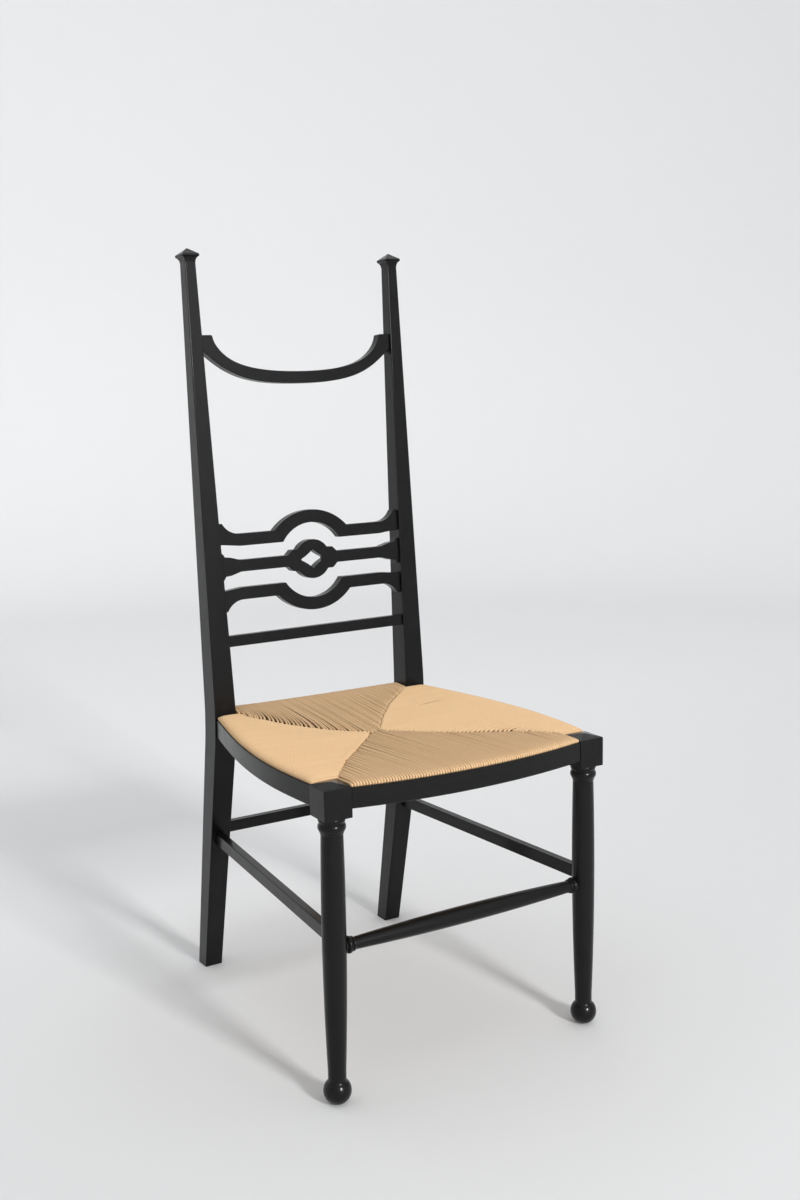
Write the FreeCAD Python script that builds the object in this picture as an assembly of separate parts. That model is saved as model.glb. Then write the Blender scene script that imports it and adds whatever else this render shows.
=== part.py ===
import FreeCAD, Part
import math
import os
from FreeCAD import Vector

# Tall back side chair: black painted wood, woven cord seat, fretted back.
# Millimetres. X runs across the chair, Y from front to back, Z up.
# The origin is on the floor, in the middle of the chair's box.

# Overall places
leg_spacing = 412.0          # between the axes of the two front legs
seat_depth = 398.0           # from the front leg axis to the front of a back post at its knee
foot_kick = 92.0             # how far the foot of a back post stands behind its knee
back_rake = 57.0             # how far the neck of a back post leans behind its knee

# Back posts
knee_drop = 21.0             # of the knees below the top of the seat
post_neck_height = 1126.0
post_foot_width = 29.0
post_foot_depth = 28.5
post_knee_width = 35.5
post_knee_depth = 41.0
post_neck_width = 16.8
post_neck_depth = 20.6
post_foot_spacing = 343.0
post_knee_spacing = 343.5
post_neck_spacing = 350.2
knee_radius = 300.0
post_edge_radius = 1.2

# Caps on the back posts
cap_width = 28.0
cap_cove_height = 8.5
cap_rim_height = 3.0
cap_point_height = 9.5
cap_tip_width = 1.6
cap_edge_radius = 1.1
cap_cove_shares = ((0.0, 0.0), (0.38, 0.1), (0.72, 0.38), (1.0, 1.0))

# Front legs
block_side = 41.0
block_drop = 6.0             # of the blocks' edges below the top of the seat
block_height = 41.0
block_point_height = 4.5
block_tip_width = 5.0
block_edge_radius = 1.6
collar_ring_height = 7.0
collar_ring_diameter = 36.4
collar_groove_diameter = 34.0
collar_groove_height = 1.5
collar_bead_height = 10.0
collar_bead_diameter = 37.4
collar_slope_height = 5.5
leg_neck_diameter = 29.8
leg_belly_diameter = 32.8
leg_belly_height = 262.0
leg_ankle_diameter = 24.8
leg_ankle_height = 47.0
ball_diameter = 38.4
ball_foot_flat = 12.0
ball_neck_height = 8.0
ball_cove_shares = (0.25, 0.33)
leg_splay = 2.5              # how far the ball stands outside the block's axis

# Back boards: the crest, the three fretted slats and the plain rung
board_thickness = 17.0
board_setback = 5.5          # behind the front faces of the posts
board_edge_bevel = 0.8
board_tenon_thickness = 8.0
board_tenon_length = 11.0
board_tenon_shoulder = 3.0

crest_drop = 107.0           # of the tops of its horns below the posts' necks
crest_dip = 56.5             # from the top of the horns to the hollow of the upper curve
crest_depth = 18.6           # width of the board at its middle
crest_rise = 52.5            # the lower curve climbs this much to the posts
crest_mouth = 292.0          # between the two horns at their tops
crest_mouth_shares = (
    (0.0, 0.0), (0.37, 0.045), (0.65, 0.18), (0.82, 0.37), (0.925, 0.6), (0.975, 0.79), (1.0, 1.0))
crest_sole_shares = ((0.0, 0.0), (0.35, 0.05), (0.6, 0.21), (0.78, 0.465), (0.93, 0.81), (1.0, 1.0))
horn_corner_radius = 3.0
horn_tenon_height = 15.0

arches_rise = 222.0          # from the top of the seat to midway between upper and lower slat
slat_pitch = 41.5            # from there to the centre lines of their bands
slat_band = 19.0
arch_reach = 79.5            # from there to the crown of an arch
arch_outer_width = 128.0
arch_inner_width = 101.0
arch_band = 20.0
slat_flare = 17.0
slat_flare_length = 28.0
slat_flare_land = 6.0
slat_end_lift = 5.5

middle_slat_lift = 1.3       # above midway between the other two
middle_band = 18.2
ring_diameter = 62.0
ring_shoulder_width = 71.0
ring_shoulder_height = 33.8
ring_shoulder_foot = 8.0
middle_flare_step = 14.0
middle_flare_tip = 20.5
middle_flare_length = 33.0
middle_step_length = 9.0
middle_step_rise = 0.9
middle_land = 7.0
lozenge_width = 46.0
lozenge_height = 30.5
lozenge_hollow = 1.4
lozenge_corner_radius = 1.6

rung_height = 17.2
rung_drop = 113.3            # below midway between the upper and the lower slat
rung_thickness = 13.0
rung_setback = 4.5
rung_tenon_height = 11.0
rung_tenon_thickness = 7.0

# Seat: hidden rails, cord weave round them, painted bands nailed outside
seat_top_height = 445.0
seat_thickness = 35.5
cord_layer = 4.5
seat_roll_radius = 9.0
seat_dish = 10.0
seat_ridge_length = 26.0
seat_middle = 214.0          # from the front leg axis to the middle of the weave
band_thickness = 5.0
band_drop = 36.0             # of the bands' lower edges below the top of the seat
band_height = 28.0
band_recess = 1.3            # of the bands' faces behind the faces of the blocks
band_edge_bevel = 1.0
front_bow = 21.5
side_bow = 18.5
side_bow_shares = ((0.0, 0.0), (0.2, 0.68), (0.42, 1.0), (0.68, 0.78), (0.87, 0.34), (1.0, 0.0))
rail_width = 22.0
rail_height = 24.0
rail_tenon_thickness = 9.0
rail_tenon_height = 17.0
front_rail_tenon_length = 17.0
side_rail_tenon_length = 8.5
back_rail_tenon_length = 15.0
pad_gap = 1.0
pin_diameter = 1.8
pin_length = 21.0
pin_sink = 0.45              # of its head below the band's face
pins_in_a_band = 5
pin_end_margin = 24.0

# Stretchers
front_stretcher_drop = 14.5  # below the side stretchers
front_stretcher_middle = 24.6
front_stretcher_end = 17.0
front_bead_diameter = 23.8
front_bead_length = 8.0
front_roll_diameter = 20.6
front_roll_length = 4.0
front_groove_diameter = 17.6
front_tenon_diameter = 11.0
front_tenon_length = 10.5
side_stretcher_width = 13.0
side_stretcher_depth = 19.0
side_stretcher_height = 232.5
side_tenon_thickness = 7.0
side_tenon_height = 12.0
side_front_tenon_length = 8.0
side_back_tenon_length = 14.0
back_stretcher_rise = 14.0   # above the side stretchers
back_stretcher_depth = 17.5
back_stretcher_thickness = 13.0
back_stretcher_setback = 9.0
back_tenon_thickness = 7.0
back_tenon_height = 11.0
back_tenon_length = 13.0
stretcher_edge_radius = 1.4

# Fits
fit_gap = 0.15               # all round a tenon in its mortise
seat_gap = 0.3               # between the weave and the wood
overrun = 20.0               # of cutting shapes past what they cut
least_length = 0.001         # of a straight step in an outline

# Derived places
post_knee_height = seat_top_height - knee_drop
block_top_height = seat_top_height - block_drop
block_bottom_height = block_top_height - block_height
seat_underside_height = seat_top_height - seat_thickness
band_bottom_height = seat_top_height - band_drop
crest_top_height = post_neck_height - crest_drop
arches_height = seat_top_height + arches_rise
middle_slat_height = arches_height + middle_slat_lift
rung_centre_height = arches_height - rung_drop
front_stretcher_height = side_stretcher_height - front_stretcher_drop
back_stretcher_height = side_stretcher_height + back_stretcher_rise
block_half = block_side / 2
box_front = block_half - band_recess + front_bow
box_back = seat_depth + foot_kick + post_foot_depth
leg_y = (box_front - box_back) / 2
leg_x = leg_spacing / 2
knee_front_y = leg_y + seat_depth
knee_back_y = knee_front_y + post_knee_depth
foot_front_y = knee_front_y + foot_kick
neck_front_y = knee_front_y + back_rake
rake_angle = math.atan2(back_rake, post_neck_height - post_knee_height)
kick_angle = math.atan2(foot_kick, post_knee_height)
neck_back_y = neck_front_y + post_neck_depth * math.cos(rake_angle)
neck_back_height = post_neck_height - post_neck_depth * math.sin(rake_angle)
knee_face_y = knee_front_y + knee_radius * (1 / math.cos((rake_angle + kick_angle) / 2) - 1)
back_rail_y = knee_face_y + post_knee_depth / 2
block_front_y = leg_y - block_half
block_back_y = leg_y + block_half
block_inner_x = leg_x - block_half
block_outer_x = leg_x + block_half


def between(height, low_height, high_height, low_value, high_value):
    """The value at a height, in line with the values at two other heights."""
    share = (height - low_height) / (high_height - low_height)
    return low_value + share * (high_value - low_value)


def post_width(height):
    if height < post_knee_height:
        return between(height, 0, post_knee_height, post_foot_width, post_knee_width)
    return between(height, post_knee_height, post_neck_height, post_knee_width, post_neck_width)


def post_centre_x(height):
    if height < post_knee_height:
        return between(height, 0, post_knee_height, post_foot_spacing, post_knee_spacing) / 2
    return between(height, post_knee_height, post_neck_height, post_knee_spacing, post_neck_spacing) / 2


def post_inner_x(height):
    return post_centre_x(height) - post_width(height) / 2


def post_outer_x(height):
    return post_centre_x(height) + post_width(height) / 2


def post_front_y(height):
    if height < post_knee_height:
        return between(height, 0, post_knee_height, foot_front_y, knee_front_y)
    return between(height, post_knee_height, post_neck_height, knee_front_y, neck_front_y)


def closed_outline(corners, to_point):
    """A closed wire through corners (u, v, radius); a radius above zero rounds its corner."""
    runs = []
    count = len(corners)
    for index, (u, v, radius) in enumerate(corners):
        corner = Vector(u, v, 0)
        if not radius:
            runs.append((corner, corner, corner))
            continue
        before = Vector(*corners[index - 1][:2], 0)
        after = Vector(*corners[(index + 1) % count][:2], 0)
        toward_before = (before - corner).normalize()
        toward_after = (after - corner).normalize()
        half_angle = toward_before.getAngle(toward_after) / 2
        reach = radius / math.tan(half_angle)
        middle_way = (toward_before + toward_after).normalize()
        middle = corner + middle_way * (radius / math.sin(half_angle) - radius)
        runs.append((corner + toward_before * reach, middle, corner + toward_after * reach))
    edges = []
    for index, (start, middle, end) in enumerate(runs):
        if start != end:
            edges.append(Part.Arc(to_point(start), to_point(middle), to_point(end)).toShape())
        following = runs[(index + 1) % count][0]
        if end.distanceToPoint(following) > least_length:
            edges.append(Part.LineSegment(to_point(end), to_point(following)).toShape())
    return Part.Wire(edges)


def in_xz(point):
    return Vector(point.x, 0, point.y)


def in_yz(point):
    return Vector(0, point.x, point.y)


def box(x_low, x_high, y_low, y_high, z_low, z_high):
    return Part.makeBox(x_high - x_low, y_high - y_low, z_high - z_low, Vector(x_low, y_low, z_low))


def mirrored(shape):
    """The shape on the other side of the chair."""
    return shape.mirror(Vector(0, 0, 0), Vector(1, 0, 0))


def mirrored_corners(right_half):
    """Corners of a left and right alike outline from those of its right half, top to bottom."""
    left_half = [(-u, v, radius) for u, v, radius in reversed(right_half) if u]
    return right_half + left_half


def smooth_edge(points):
    curve = Part.BSplineCurve()
    curve.interpolate(points)
    return curve.toShape()


def joined(shape, *others):
    result = shape
    for other in others:
        result = result.fuse(other)
    return result.removeSplitter()


def less(shape, *cutters):
    result = shape
    for cutter in cutters:
        result = result.cut(cutter)
    return result


def long_edges(shape, shortest):
    return [edge for edge in shape.Edges if edge.Length > shortest]


# Frame of the back: X across, Y back through the boards, Z up along the raked posts,
# with its origin at the knees' front faces.
back_frame = FreeCAD.Placement(
    Vector(0, knee_front_y, post_knee_height),
    FreeCAD.Rotation(Vector(1, 0, 0), -math.degrees(rake_angle)))


def up_the_back(height):
    """Distance along the raked front faces from the knees to a height above the floor."""
    return (height - post_knee_height) / math.cos(rake_angle)


def set_in_back(shape):
    placed = shape.copy()
    placed.Placement = back_frame.multiply(placed.Placement)
    return placed


def square_wire(side_x, side_y, height):
    half_x = side_x / 2
    half_y = side_y / 2
    points = [
        Vector(-half_x, -half_y, height), Vector(half_x, -half_y, height),
        Vector(half_x, half_y, height), Vector(-half_x, half_y, height)]
    return Part.makePolygon(points + points[:1])


def post_cap():
    """Faceted cap with a coved underside, on a local frame whose origin is the neck's centre."""
    cove = []
    for rise_share, spread_share in cap_cove_shares:
        side_x = between(spread_share, 0, 1, post_neck_width, cap_width)
        side_y = between(spread_share, 0, 1, post_neck_depth, cap_width)
        cove.append(square_wire(side_x, side_y, rise_share * cap_cove_height))
    rim_top = cap_cove_height + cap_rim_height
    flare = Part.makeLoft(cove, True, False)
    half = cap_width / 2
    rim = box(-half, half, -half, half, cap_cove_height, rim_top)
    point = Part.makeLoft(
        [square_wire(cap_width, cap_width, rim_top),
         square_wire(cap_tip_width, cap_tip_width, rim_top + cap_point_height)], True, True)
    head = rim.fuse(point).removeSplitter()
    rim_edges = [edge for edge in head.Edges if edge.BoundBox.ZMax < rim_top + fit_gap]
    head = head.makeFillet(cap_edge_radius, rim_edges)
    return flare.fuse(head).removeSplitter()


def raw_post():
    """A right back post with its cap, before its mortises are cut."""
    side = closed_outline([
        (foot_front_y, 0, 0), (knee_front_y, post_knee_height, knee_radius),
        (neck_front_y, post_neck_height, 0), (neck_back_y, neck_back_height, 0),
        (knee_back_y, post_knee_height, knee_radius), (foot_front_y + post_foot_depth, 0, 0)], in_yz)
    side_slab = Part.Face(side).extrude(Vector(post_neck_spacing, 0, 0))
    front = closed_outline([
        (post_inner_x(0), 0, 0), (post_inner_x(post_knee_height), post_knee_height, 0),
        (post_inner_x(post_neck_height), post_neck_height, 0),
        (post_outer_x(post_neck_height), post_neck_height, 0),
        (post_outer_x(post_knee_height), post_knee_height, 0), (post_outer_x(0), 0, 0)], in_xz)
    front_slab = Part.Face(front).extrude(Vector(0, box_front + box_back, 0))
    front_slab.translate(Vector(0, leg_y, 0))
    post = side_slab.common(front_slab).removeSplitter()
    arrises = [edge for edge in post.Edges if edge.BoundBox.ZLength > edge.Length / 2]
    post = post.makeFillet(post_edge_radius, arrises)
    cap = post_cap()
    cap.rotate(Vector(0, 0, 0), Vector(1, 0, 0), -math.degrees(rake_angle))
    cap.translate(Vector(
        post_centre_x(post_neck_height), (neck_front_y + neck_back_y) / 2,
        (post_neck_height + neck_back_height) / 2))
    return joined(post, cap)


right_post = raw_post()
left_post = mirrored(right_post)


def tenon_pair(shoulder_height, half_height, thickness, length, middle_y, gap):
    """Tenons of a board of the back for both posts, in the frame of the back.

    The gap is zero for the tenons and the fit for their mortises.
    """
    v = up_the_back(shoulder_height)
    shoulder = post_inner_x(shoulder_height)
    right = box(
        shoulder - board_tenon_length, shoulder + length + gap,
        middle_y - thickness / 2 - gap, middle_y + thickness / 2 + gap,
        v - half_height - gap, v + half_height + gap)
    return set_in_back(Part.makeCompound([right, mirrored(right)]))


def board_from(outline_face, thickness, setback):
    board = outline_face.extrude(Vector(0, thickness, 0))
    board.translate(Vector(0, setback, 0))
    return board


def finished_board(board, tenons):
    """A board of the back trimmed to the posts' inner faces, with its tenons."""
    trimmed = less(set_in_back(board), right_post, left_post)
    return joined(trimmed, *tenons.Solids)


def eased(board):
    """The board with its front and back edges bevelled."""
    edges = [edge for edge in board.Edges
             if edge.BoundBox.YLength < fit_gap and edge.Length > board_edge_bevel]
    return board.makeChamfer(board_edge_bevel, edges)


board_middle_y = board_setback + board_thickness / 2


def crest_tenons(gap):
    height = crest_top_height - board_tenon_shoulder - horn_tenon_height / 2
    return tenon_pair(
        height, horn_tenon_height / 2, board_tenon_thickness, board_tenon_length, board_middle_y, gap)


def crest_rail():
    top = up_the_back(crest_top_height)
    end_x = post_centre_x(crest_top_height)
    half_mouth = crest_mouth / 2
    sole_x = post_inner_x(crest_top_height)
    hollow = top - crest_dip
    sole = hollow - crest_depth
    mouth_right = [(x_share * half_mouth, hollow + z_share * crest_dip)
                   for x_share, z_share in crest_mouth_shares]
    sole_right = [(x_share * sole_x, sole + z_share * crest_rise) for x_share, z_share in crest_sole_shares]
    mouth_left = [(-x, z) for x, z in reversed(mouth_right[1:])]
    sole_left = [(-x, z) for x, z in reversed(sole_right[1:])]
    mouth = [Vector(x, 0, z) for x, z in mouth_left + mouth_right]
    under = [Vector(x, 0, z) for x, z in sole_left + sole_right]
    side_steps = [
        (mouth[-1], Vector(end_x, 0, top)),
        (Vector(end_x, 0, top), Vector(end_x, 0, under[-1].z)),
        (Vector(end_x, 0, under[-1].z), under[-1]),
        (under[0], Vector(-end_x, 0, under[0].z)),
        (Vector(-end_x, 0, under[0].z), Vector(-end_x, 0, top)),
        (Vector(-end_x, 0, top), mouth[0])]
    straight = [Part.LineSegment(start, end).toShape() for start, end in side_steps]
    edges = [smooth_edge(mouth)] + straight[:3] + [smooth_edge(under)] + straight[3:]
    face = Part.Face(Part.Wire(Part.__sortEdges__(edges)))
    board = board_from(face, board_thickness, board_setback)
    top_edges = [edge for edge in board.Edges if edge.CenterOfMass.z > top - fit_gap]
    corners = [edge for edge in top_edges
               if edge.BoundBox.YLength > board_thickness / 2 and abs(edge.CenterOfMass.x) < half_mouth + fit_gap]
    board = eased(board.makeFillet(horn_corner_radius, corners))
    return finished_board(board, crest_tenons(0))


def arc_radius(half_width, rise):
    """Radius of an arc from its half width and its rise."""
    return (half_width ** 2 + rise ** 2) / (2 * rise)


def across_the_board(radius, centre_height):
    return Part.makeCylinder(radius, board_thickness, Vector(0, 0, centre_height), Vector(0, 1, 0))


def arched_slat_board():
    """The upper slat about its band's centre line: band, flared ends and raised arch."""
    outer_half = arch_outer_width / 2
    top = slat_band / 2
    crown = arch_reach - slat_pitch
    soffit = crown - arch_band
    end_x = post_centre_x(arches_height)
    flare_x = post_inner_x(arches_height) - slat_flare_land
    flare_radius = arc_radius(slat_flare_length, slat_flare)
    bend_x = flare_x - slat_flare_length + flare_radius * slat_flare / slat_flare_length
    right_half = [
        (0, top, 0), (bend_x, top, flare_radius), (flare_x, top + slat_flare, 0),
        (end_x, top + slat_flare, 0), (end_x, slat_end_lift - top, 0),
        (flare_x - slat_flare_length, -top, 0), (0, -top, 0)]
    band = Part.Face(closed_outline(mirrored_corners(right_half), in_xz)).extrude(
        Vector(0, board_thickness, 0))
    outer_radius = arc_radius(outer_half, crown - top)
    inner_radius = arc_radius(arch_inner_width / 2, soffit + top)
    above = box(-outer_half, outer_half, 0, board_thickness, -top, crown)
    arch = across_the_board(outer_radius, crown - outer_radius).common(above)
    return joined(band, arch).cut(across_the_board(inner_radius, soffit - inner_radius))


def slat_tenons(centre_height, gap):
    return tenon_pair(
        centre_height, slat_band / 2 - board_tenon_shoulder, board_tenon_thickness,
        board_tenon_length, board_middle_y, gap)


def upper_slat():
    board = eased(arched_slat_board())
    board.translate(Vector(0, board_setback, up_the_back(arches_height) + slat_pitch))
    return finished_board(board, slat_tenons(arches_height + slat_pitch, 0))


def lower_slat():
    board = eased(arched_slat_board()).mirror(Vector(0, 0, 0), Vector(0, 0, 1))
    board.translate(Vector(0, board_setback, up_the_back(arches_height) - slat_pitch))
    return finished_board(board, slat_tenons(arches_height - slat_pitch, 0))


def lozenge():
    """Lozenge with hollow sides, to be cut through the ring."""
    right = Vector(lozenge_width / 2, 0, 0)
    top = Vector(0, 0, lozenge_height / 2)
    edges = []
    corners = [right, top, -right, -top]
    for index, corner in enumerate(corners):
        following = corners[(index + 1) % len(corners)]
        middle = (corner + following) / 2
        inward = middle.normalize() * -lozenge_hollow
        edges.append(Part.Arc(corner, (corner + following) / 2 + inward, following).toShape())
    prism = Part.Face(Part.Wire(edges)).extrude(Vector(0, board_thickness, 0))
    upright = [edge for edge in prism.Edges if edge.BoundBox.YLength > board_thickness / 2]
    return prism.makeFillet(lozenge_corner_radius, upright)


def middle_slat():
    band = middle_band / 2
    shoulder = ring_shoulder_height / 2
    shoulder_x = ring_shoulder_width / 2
    foot_x = shoulder_x + ring_shoulder_foot
    end_x = post_centre_x(middle_slat_height)
    land_x = post_inner_x(middle_slat_height) - middle_land
    step_x = land_x - middle_step_length
    start_x = land_x + middle_land - middle_flare_length
    cove = ring_shoulder_foot / 2
    upper = [
        (0, shoulder, 0), (shoulder_x, shoulder, cove), (foot_x, band, cove),
        (start_x, band, middle_step_length), (step_x, middle_flare_step, 0),
        (land_x, middle_flare_step + middle_step_rise, 0), (land_x + middle_land / 2, middle_flare_tip, 0),
        (end_x, middle_flare_tip, 0)]
    lower = [(x, -z, radius) for x, z, radius in reversed(upper)]
    wire = closed_outline(mirrored_corners(upper + lower), in_xz)
    strip = Part.Face(wire).extrude(Vector(0, board_thickness, 0))
    board = eased(joined(strip, across_the_board(ring_diameter / 2, 0)).cut(lozenge()))
    board.translate(Vector(0, board_setback, up_the_back(middle_slat_height)))
    return finished_board(board, slat_tenons(middle_slat_height, 0))


def rung_tenons(gap):
    return tenon_pair(
        rung_centre_height, rung_tenon_height / 2, rung_tenon_thickness, board_tenon_length,
        rung_setback + rung_thickness / 2, gap)


def back_rung():
    v = up_the_back(rung_centre_height)
    end_x = post_centre_x(rung_centre_height)
    board = box(
        -end_x, end_x, rung_setback, rung_setback + rung_thickness, v - rung_height / 2, v + rung_height / 2)
    board = board.makeFillet(stretcher_edge_radius, long_edges(board, end_x))
    return finished_board(board, rung_tenons(0))


def bulge(inner_radius, outer_radius, low, high):
    """Half section of a turned bead: an arc out from one radius to another and back."""
    return Part.Arc(
        Vector(inner_radius, 0, low), Vector(outer_radius, 0, (low + high) / 2),
        Vector(inner_radius, 0, high)).toShape()


def leg_profile():
    """Half section of the turned part of a front leg, from the floor to inside the block."""
    ball_radius = ball_diameter / 2
    flat_radius = ball_foot_flat / 2
    ball_centre = math.sqrt(ball_radius ** 2 - flat_radius ** 2)
    ankle_radius = leg_ankle_diameter / 2
    top_radius = (ankle_radius + ball_radius) / 2
    ball_top = ball_centre + math.sqrt(ball_radius ** 2 - top_radius ** 2)
    neck_radius = leg_neck_diameter / 2
    groove_radius = collar_groove_diameter / 2
    ring_bottom = block_bottom_height - collar_ring_height
    groove_bottom = ring_bottom - collar_groove_height
    bead_bottom = groove_bottom - collar_bead_height
    neck_top = bead_bottom - collar_slope_height
    root = block_bottom_height + collar_groove_height

    def spot(radius, height):
        return Vector(radius, 0, height)

    ankle = spot(ankle_radius, ball_top + ball_neck_height)
    narrow = spot(ankle_radius, leg_ankle_height)
    neck = spot(neck_radius, neck_top)
    shaft = Part.BSplineCurve()
    shaft.interpolate([narrow, spot(leg_belly_diameter / 2, leg_belly_height), neck])
    ball_arc = Part.Arc(spot(flat_radius, 0), spot(ball_radius, ball_centre), spot(top_radius, ball_top))
    spread_share, rise_share = ball_cove_shares
    cove_middle = spot(
        between(spread_share, 0, 1, ankle_radius, top_radius), ball_top + rise_share * ball_neck_height)
    straight = [
        (spot(0, 0), spot(flat_radius, 0)), (ankle, narrow),
        (neck, spot(groove_radius, bead_bottom)),
        (spot(groove_radius, groove_bottom), spot(groove_radius, ring_bottom)),
        (spot(groove_radius, block_bottom_height), spot(groove_radius, root)),
        (spot(groove_radius, root), spot(0, root)), (spot(0, root), spot(0, 0))]
    edges = [Part.LineSegment(start, end).toShape() for start, end in straight]
    edges += [
        ball_arc.toShape(), Part.Arc(spot(top_radius, ball_top), cove_middle, ankle).toShape(),
        shaft.toShape(), bulge(groove_radius, collar_bead_diameter / 2, bead_bottom, groove_bottom),
        bulge(groove_radius, collar_ring_diameter / 2, ring_bottom, block_bottom_height)]
    return Part.Wire(Part.__sortEdges__(edges))


def leg_axis_x(height):
    """X of the right front leg's turned axis, which leans out towards the floor."""
    return leg_x + between(height, block_bottom_height, 0, 0, leg_splay)


def raw_front_leg():
    """Right front leg, turned below its square block, before its mortises are cut."""
    splay_angle = math.asin(leg_splay / block_bottom_height)
    turned = Part.Face(leg_profile()).revolve(Vector(0, 0, 0), Vector(0, 0, 1), 360)
    turned.rotate(Vector(0, 0, block_bottom_height), Vector(0, 1, 0), -math.degrees(splay_angle))
    above_floor = box(-overrun, overrun + leg_splay, -overrun, overrun, 0, block_top_height)
    turned.translate(Vector(0, 0, -ball_foot_flat / 2 * math.sin(splay_angle)))
    turned = turned.common(above_floor)
    block = box(-block_half, block_half, -block_half, block_half, block_bottom_height, block_top_height)
    point = Part.makeLoft(
        [square_wire(block_side, block_side, block_top_height),
         square_wire(block_tip_width, block_tip_width, block_top_height + block_point_height)], True, True)
    block = block.fuse(point).removeSplitter()
    outer_edges = [edge for edge in block.Edges
                   if edge.BoundBox.ZMax > block_bottom_height + fit_gap
                   and edge.BoundBox.ZMax < block_top_height + fit_gap]
    block = block.makeFillet(block_edge_radius, outer_edges)
    leg = joined(turned, block)
    leg.translate(Vector(leg_x, leg_y, 0))
    return leg


def front_curve_y(x, inset):
    """Y of the bowed front at a distance behind the front band's face."""
    chord_y = block_front_y + band_recess
    radius = (block_inner_x ** 2 + front_bow ** 2) / (2 * front_bow)
    centre_y = chord_y - front_bow + radius
    return centre_y - math.sqrt((radius - inset) ** 2 - x ** 2)


def front_curve(x_end, inset):
    """The bowed front from left to right as one arc."""
    points = [Vector(x, front_curve_y(x, inset), 0) for x in (-x_end, 0, x_end)]
    return Part.Arc(*points).toShape()


def side_bow_points(inset):
    """Points of the bowed right side, from the block back to the post, at an inset from the band's face."""
    start = Vector(block_outer_x - band_recess, block_back_y, 0)
    end = Vector(post_outer_x(band_bottom_height) - band_recess, knee_front_y, 0)
    chord = end - start
    outward = Vector(chord.y, -chord.x, 0).normalize()
    spots = [start + chord * along + outward * (side_bow * out) for along, out in side_bow_shares]
    curve = Part.BSplineCurve()
    curve.interpolate(spots)
    inset_spots = []
    for spot in spots:
        tangent = curve.tangent(curve.parameter(spot))[0]
        inward = Vector(-tangent.y, tangent.x, 0).normalize()
        inset_spots.append(spot + inward * inset)
    return inset_spots


def side_curve(inset):
    """The bowed right side as a curve that runs on past the block and the post."""
    spots = side_bow_points(inset)
    first_way = (spots[0] - spots[1]).normalize()
    last_way = (spots[-1] - spots[-2]).normalize()
    return smooth_edge([spots[0] + first_way * overrun] + spots + [spots[-1] + last_way * overrun])


def strip_between(outer_edge, inner_edge, low, high):
    """Upright strip between two plan curves that run the same way."""
    outer_start, outer_end = outer_edge.Vertexes[0].Point, outer_edge.Vertexes[-1].Point
    inner_start, inner_end = inner_edge.Vertexes[0].Point, inner_edge.Vertexes[-1].Point
    near = Part.LineSegment(outer_start, inner_start).toShape()
    far = Part.LineSegment(outer_end, inner_end).toShape()
    face = Part.Face(Part.Wire(Part.__sortEdges__([outer_edge, far, inner_edge, near])))
    strip = face.extrude(Vector(0, 0, high - low))
    strip.translate(Vector(0, 0, low))
    return strip


def rail_insets():
    outer = band_thickness + cord_layer + seat_gap
    return outer, outer + rail_width


rail_bottom_height = seat_underside_height + cord_layer + seat_gap
rail_top_height = rail_bottom_height + rail_height
rail_tenon_low = rail_bottom_height + (rail_height - rail_tenon_height) / 2
rail_tenon_high = rail_tenon_low + rail_tenon_height
tenon_root = board_tenon_shoulder


def front_rail_tenon(gap):
    """Tenon of the front rail in the right block."""
    outer, inner = rail_insets()
    y = front_curve_y(block_inner_x, (outer + inner) / 2)
    return box(
        block_inner_x - tenon_root, block_inner_x + front_rail_tenon_length + gap,
        y - rail_tenon_thickness / 2 - gap, y + rail_tenon_thickness / 2 + gap,
        rail_tenon_low - gap, rail_tenon_high + gap)


def front_seat_rail():
    outer, inner = rail_insets()
    rail = strip_between(
        front_curve(block_inner_x, outer), front_curve(block_inner_x, inner),
        rail_bottom_height, rail_top_height)
    tenon = front_rail_tenon(0)
    return joined(rail, tenon, mirrored(tenon))


def side_rail_front_tenon(gap):
    outer, inner = rail_insets()
    x = (side_bow_points(outer)[0].x + side_bow_points(inner)[0].x) / 2
    return box(
        x - rail_tenon_thickness / 2 - gap, x + rail_tenon_thickness / 2 + gap,
        block_back_y - side_rail_tenon_length - gap, block_back_y + tenon_root,
        rail_tenon_low - gap, rail_tenon_high + gap)


def side_rail_back_tenon(gap):
    outer, inner = rail_insets()
    x = (side_bow_points(outer)[-1].x + side_bow_points(inner)[-1].x) / 2
    return box(
        x - rail_tenon_thickness / 2 - gap, x + rail_tenon_thickness / 2 + gap,
        knee_face_y - tenon_root, knee_face_y + side_rail_tenon_length + gap,
        rail_tenon_low - gap, rail_tenon_high + gap)


def side_seat_rail():
    outer, inner = rail_insets()
    rail = strip_between(
        side_curve(outer), side_curve(inner), rail_bottom_height, rail_top_height)
    between_joints = box(
        0, block_outer_x + overrun, block_back_y, knee_face_y,
        rail_bottom_height - overrun, rail_top_height + overrun)
    rail = less(rail.common(between_joints), right_post)
    return joined(rail, side_rail_front_tenon(0), side_rail_back_tenon(0))


def back_rail_tenon(gap):
    shoulder = post_inner_x(rail_bottom_height + rail_height / 2)
    return box(
        shoulder - tenon_root, shoulder + back_rail_tenon_length + gap,
        back_rail_y - rail_tenon_thickness / 2 - gap, back_rail_y + rail_tenon_thickness / 2 + gap,
        rail_tenon_low - gap, rail_tenon_high + gap)


def back_seat_rail():
    reach = post_centre_x(post_knee_height)
    rail = box(
        -reach, reach, back_rail_y - rail_width / 2, back_rail_y + rail_width / 2,
        rail_bottom_height, rail_top_height)
    rail = less(rail, right_post, left_post)
    tenon = back_rail_tenon(0)
    return joined(rail, tenon, mirrored(tenon))


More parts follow.
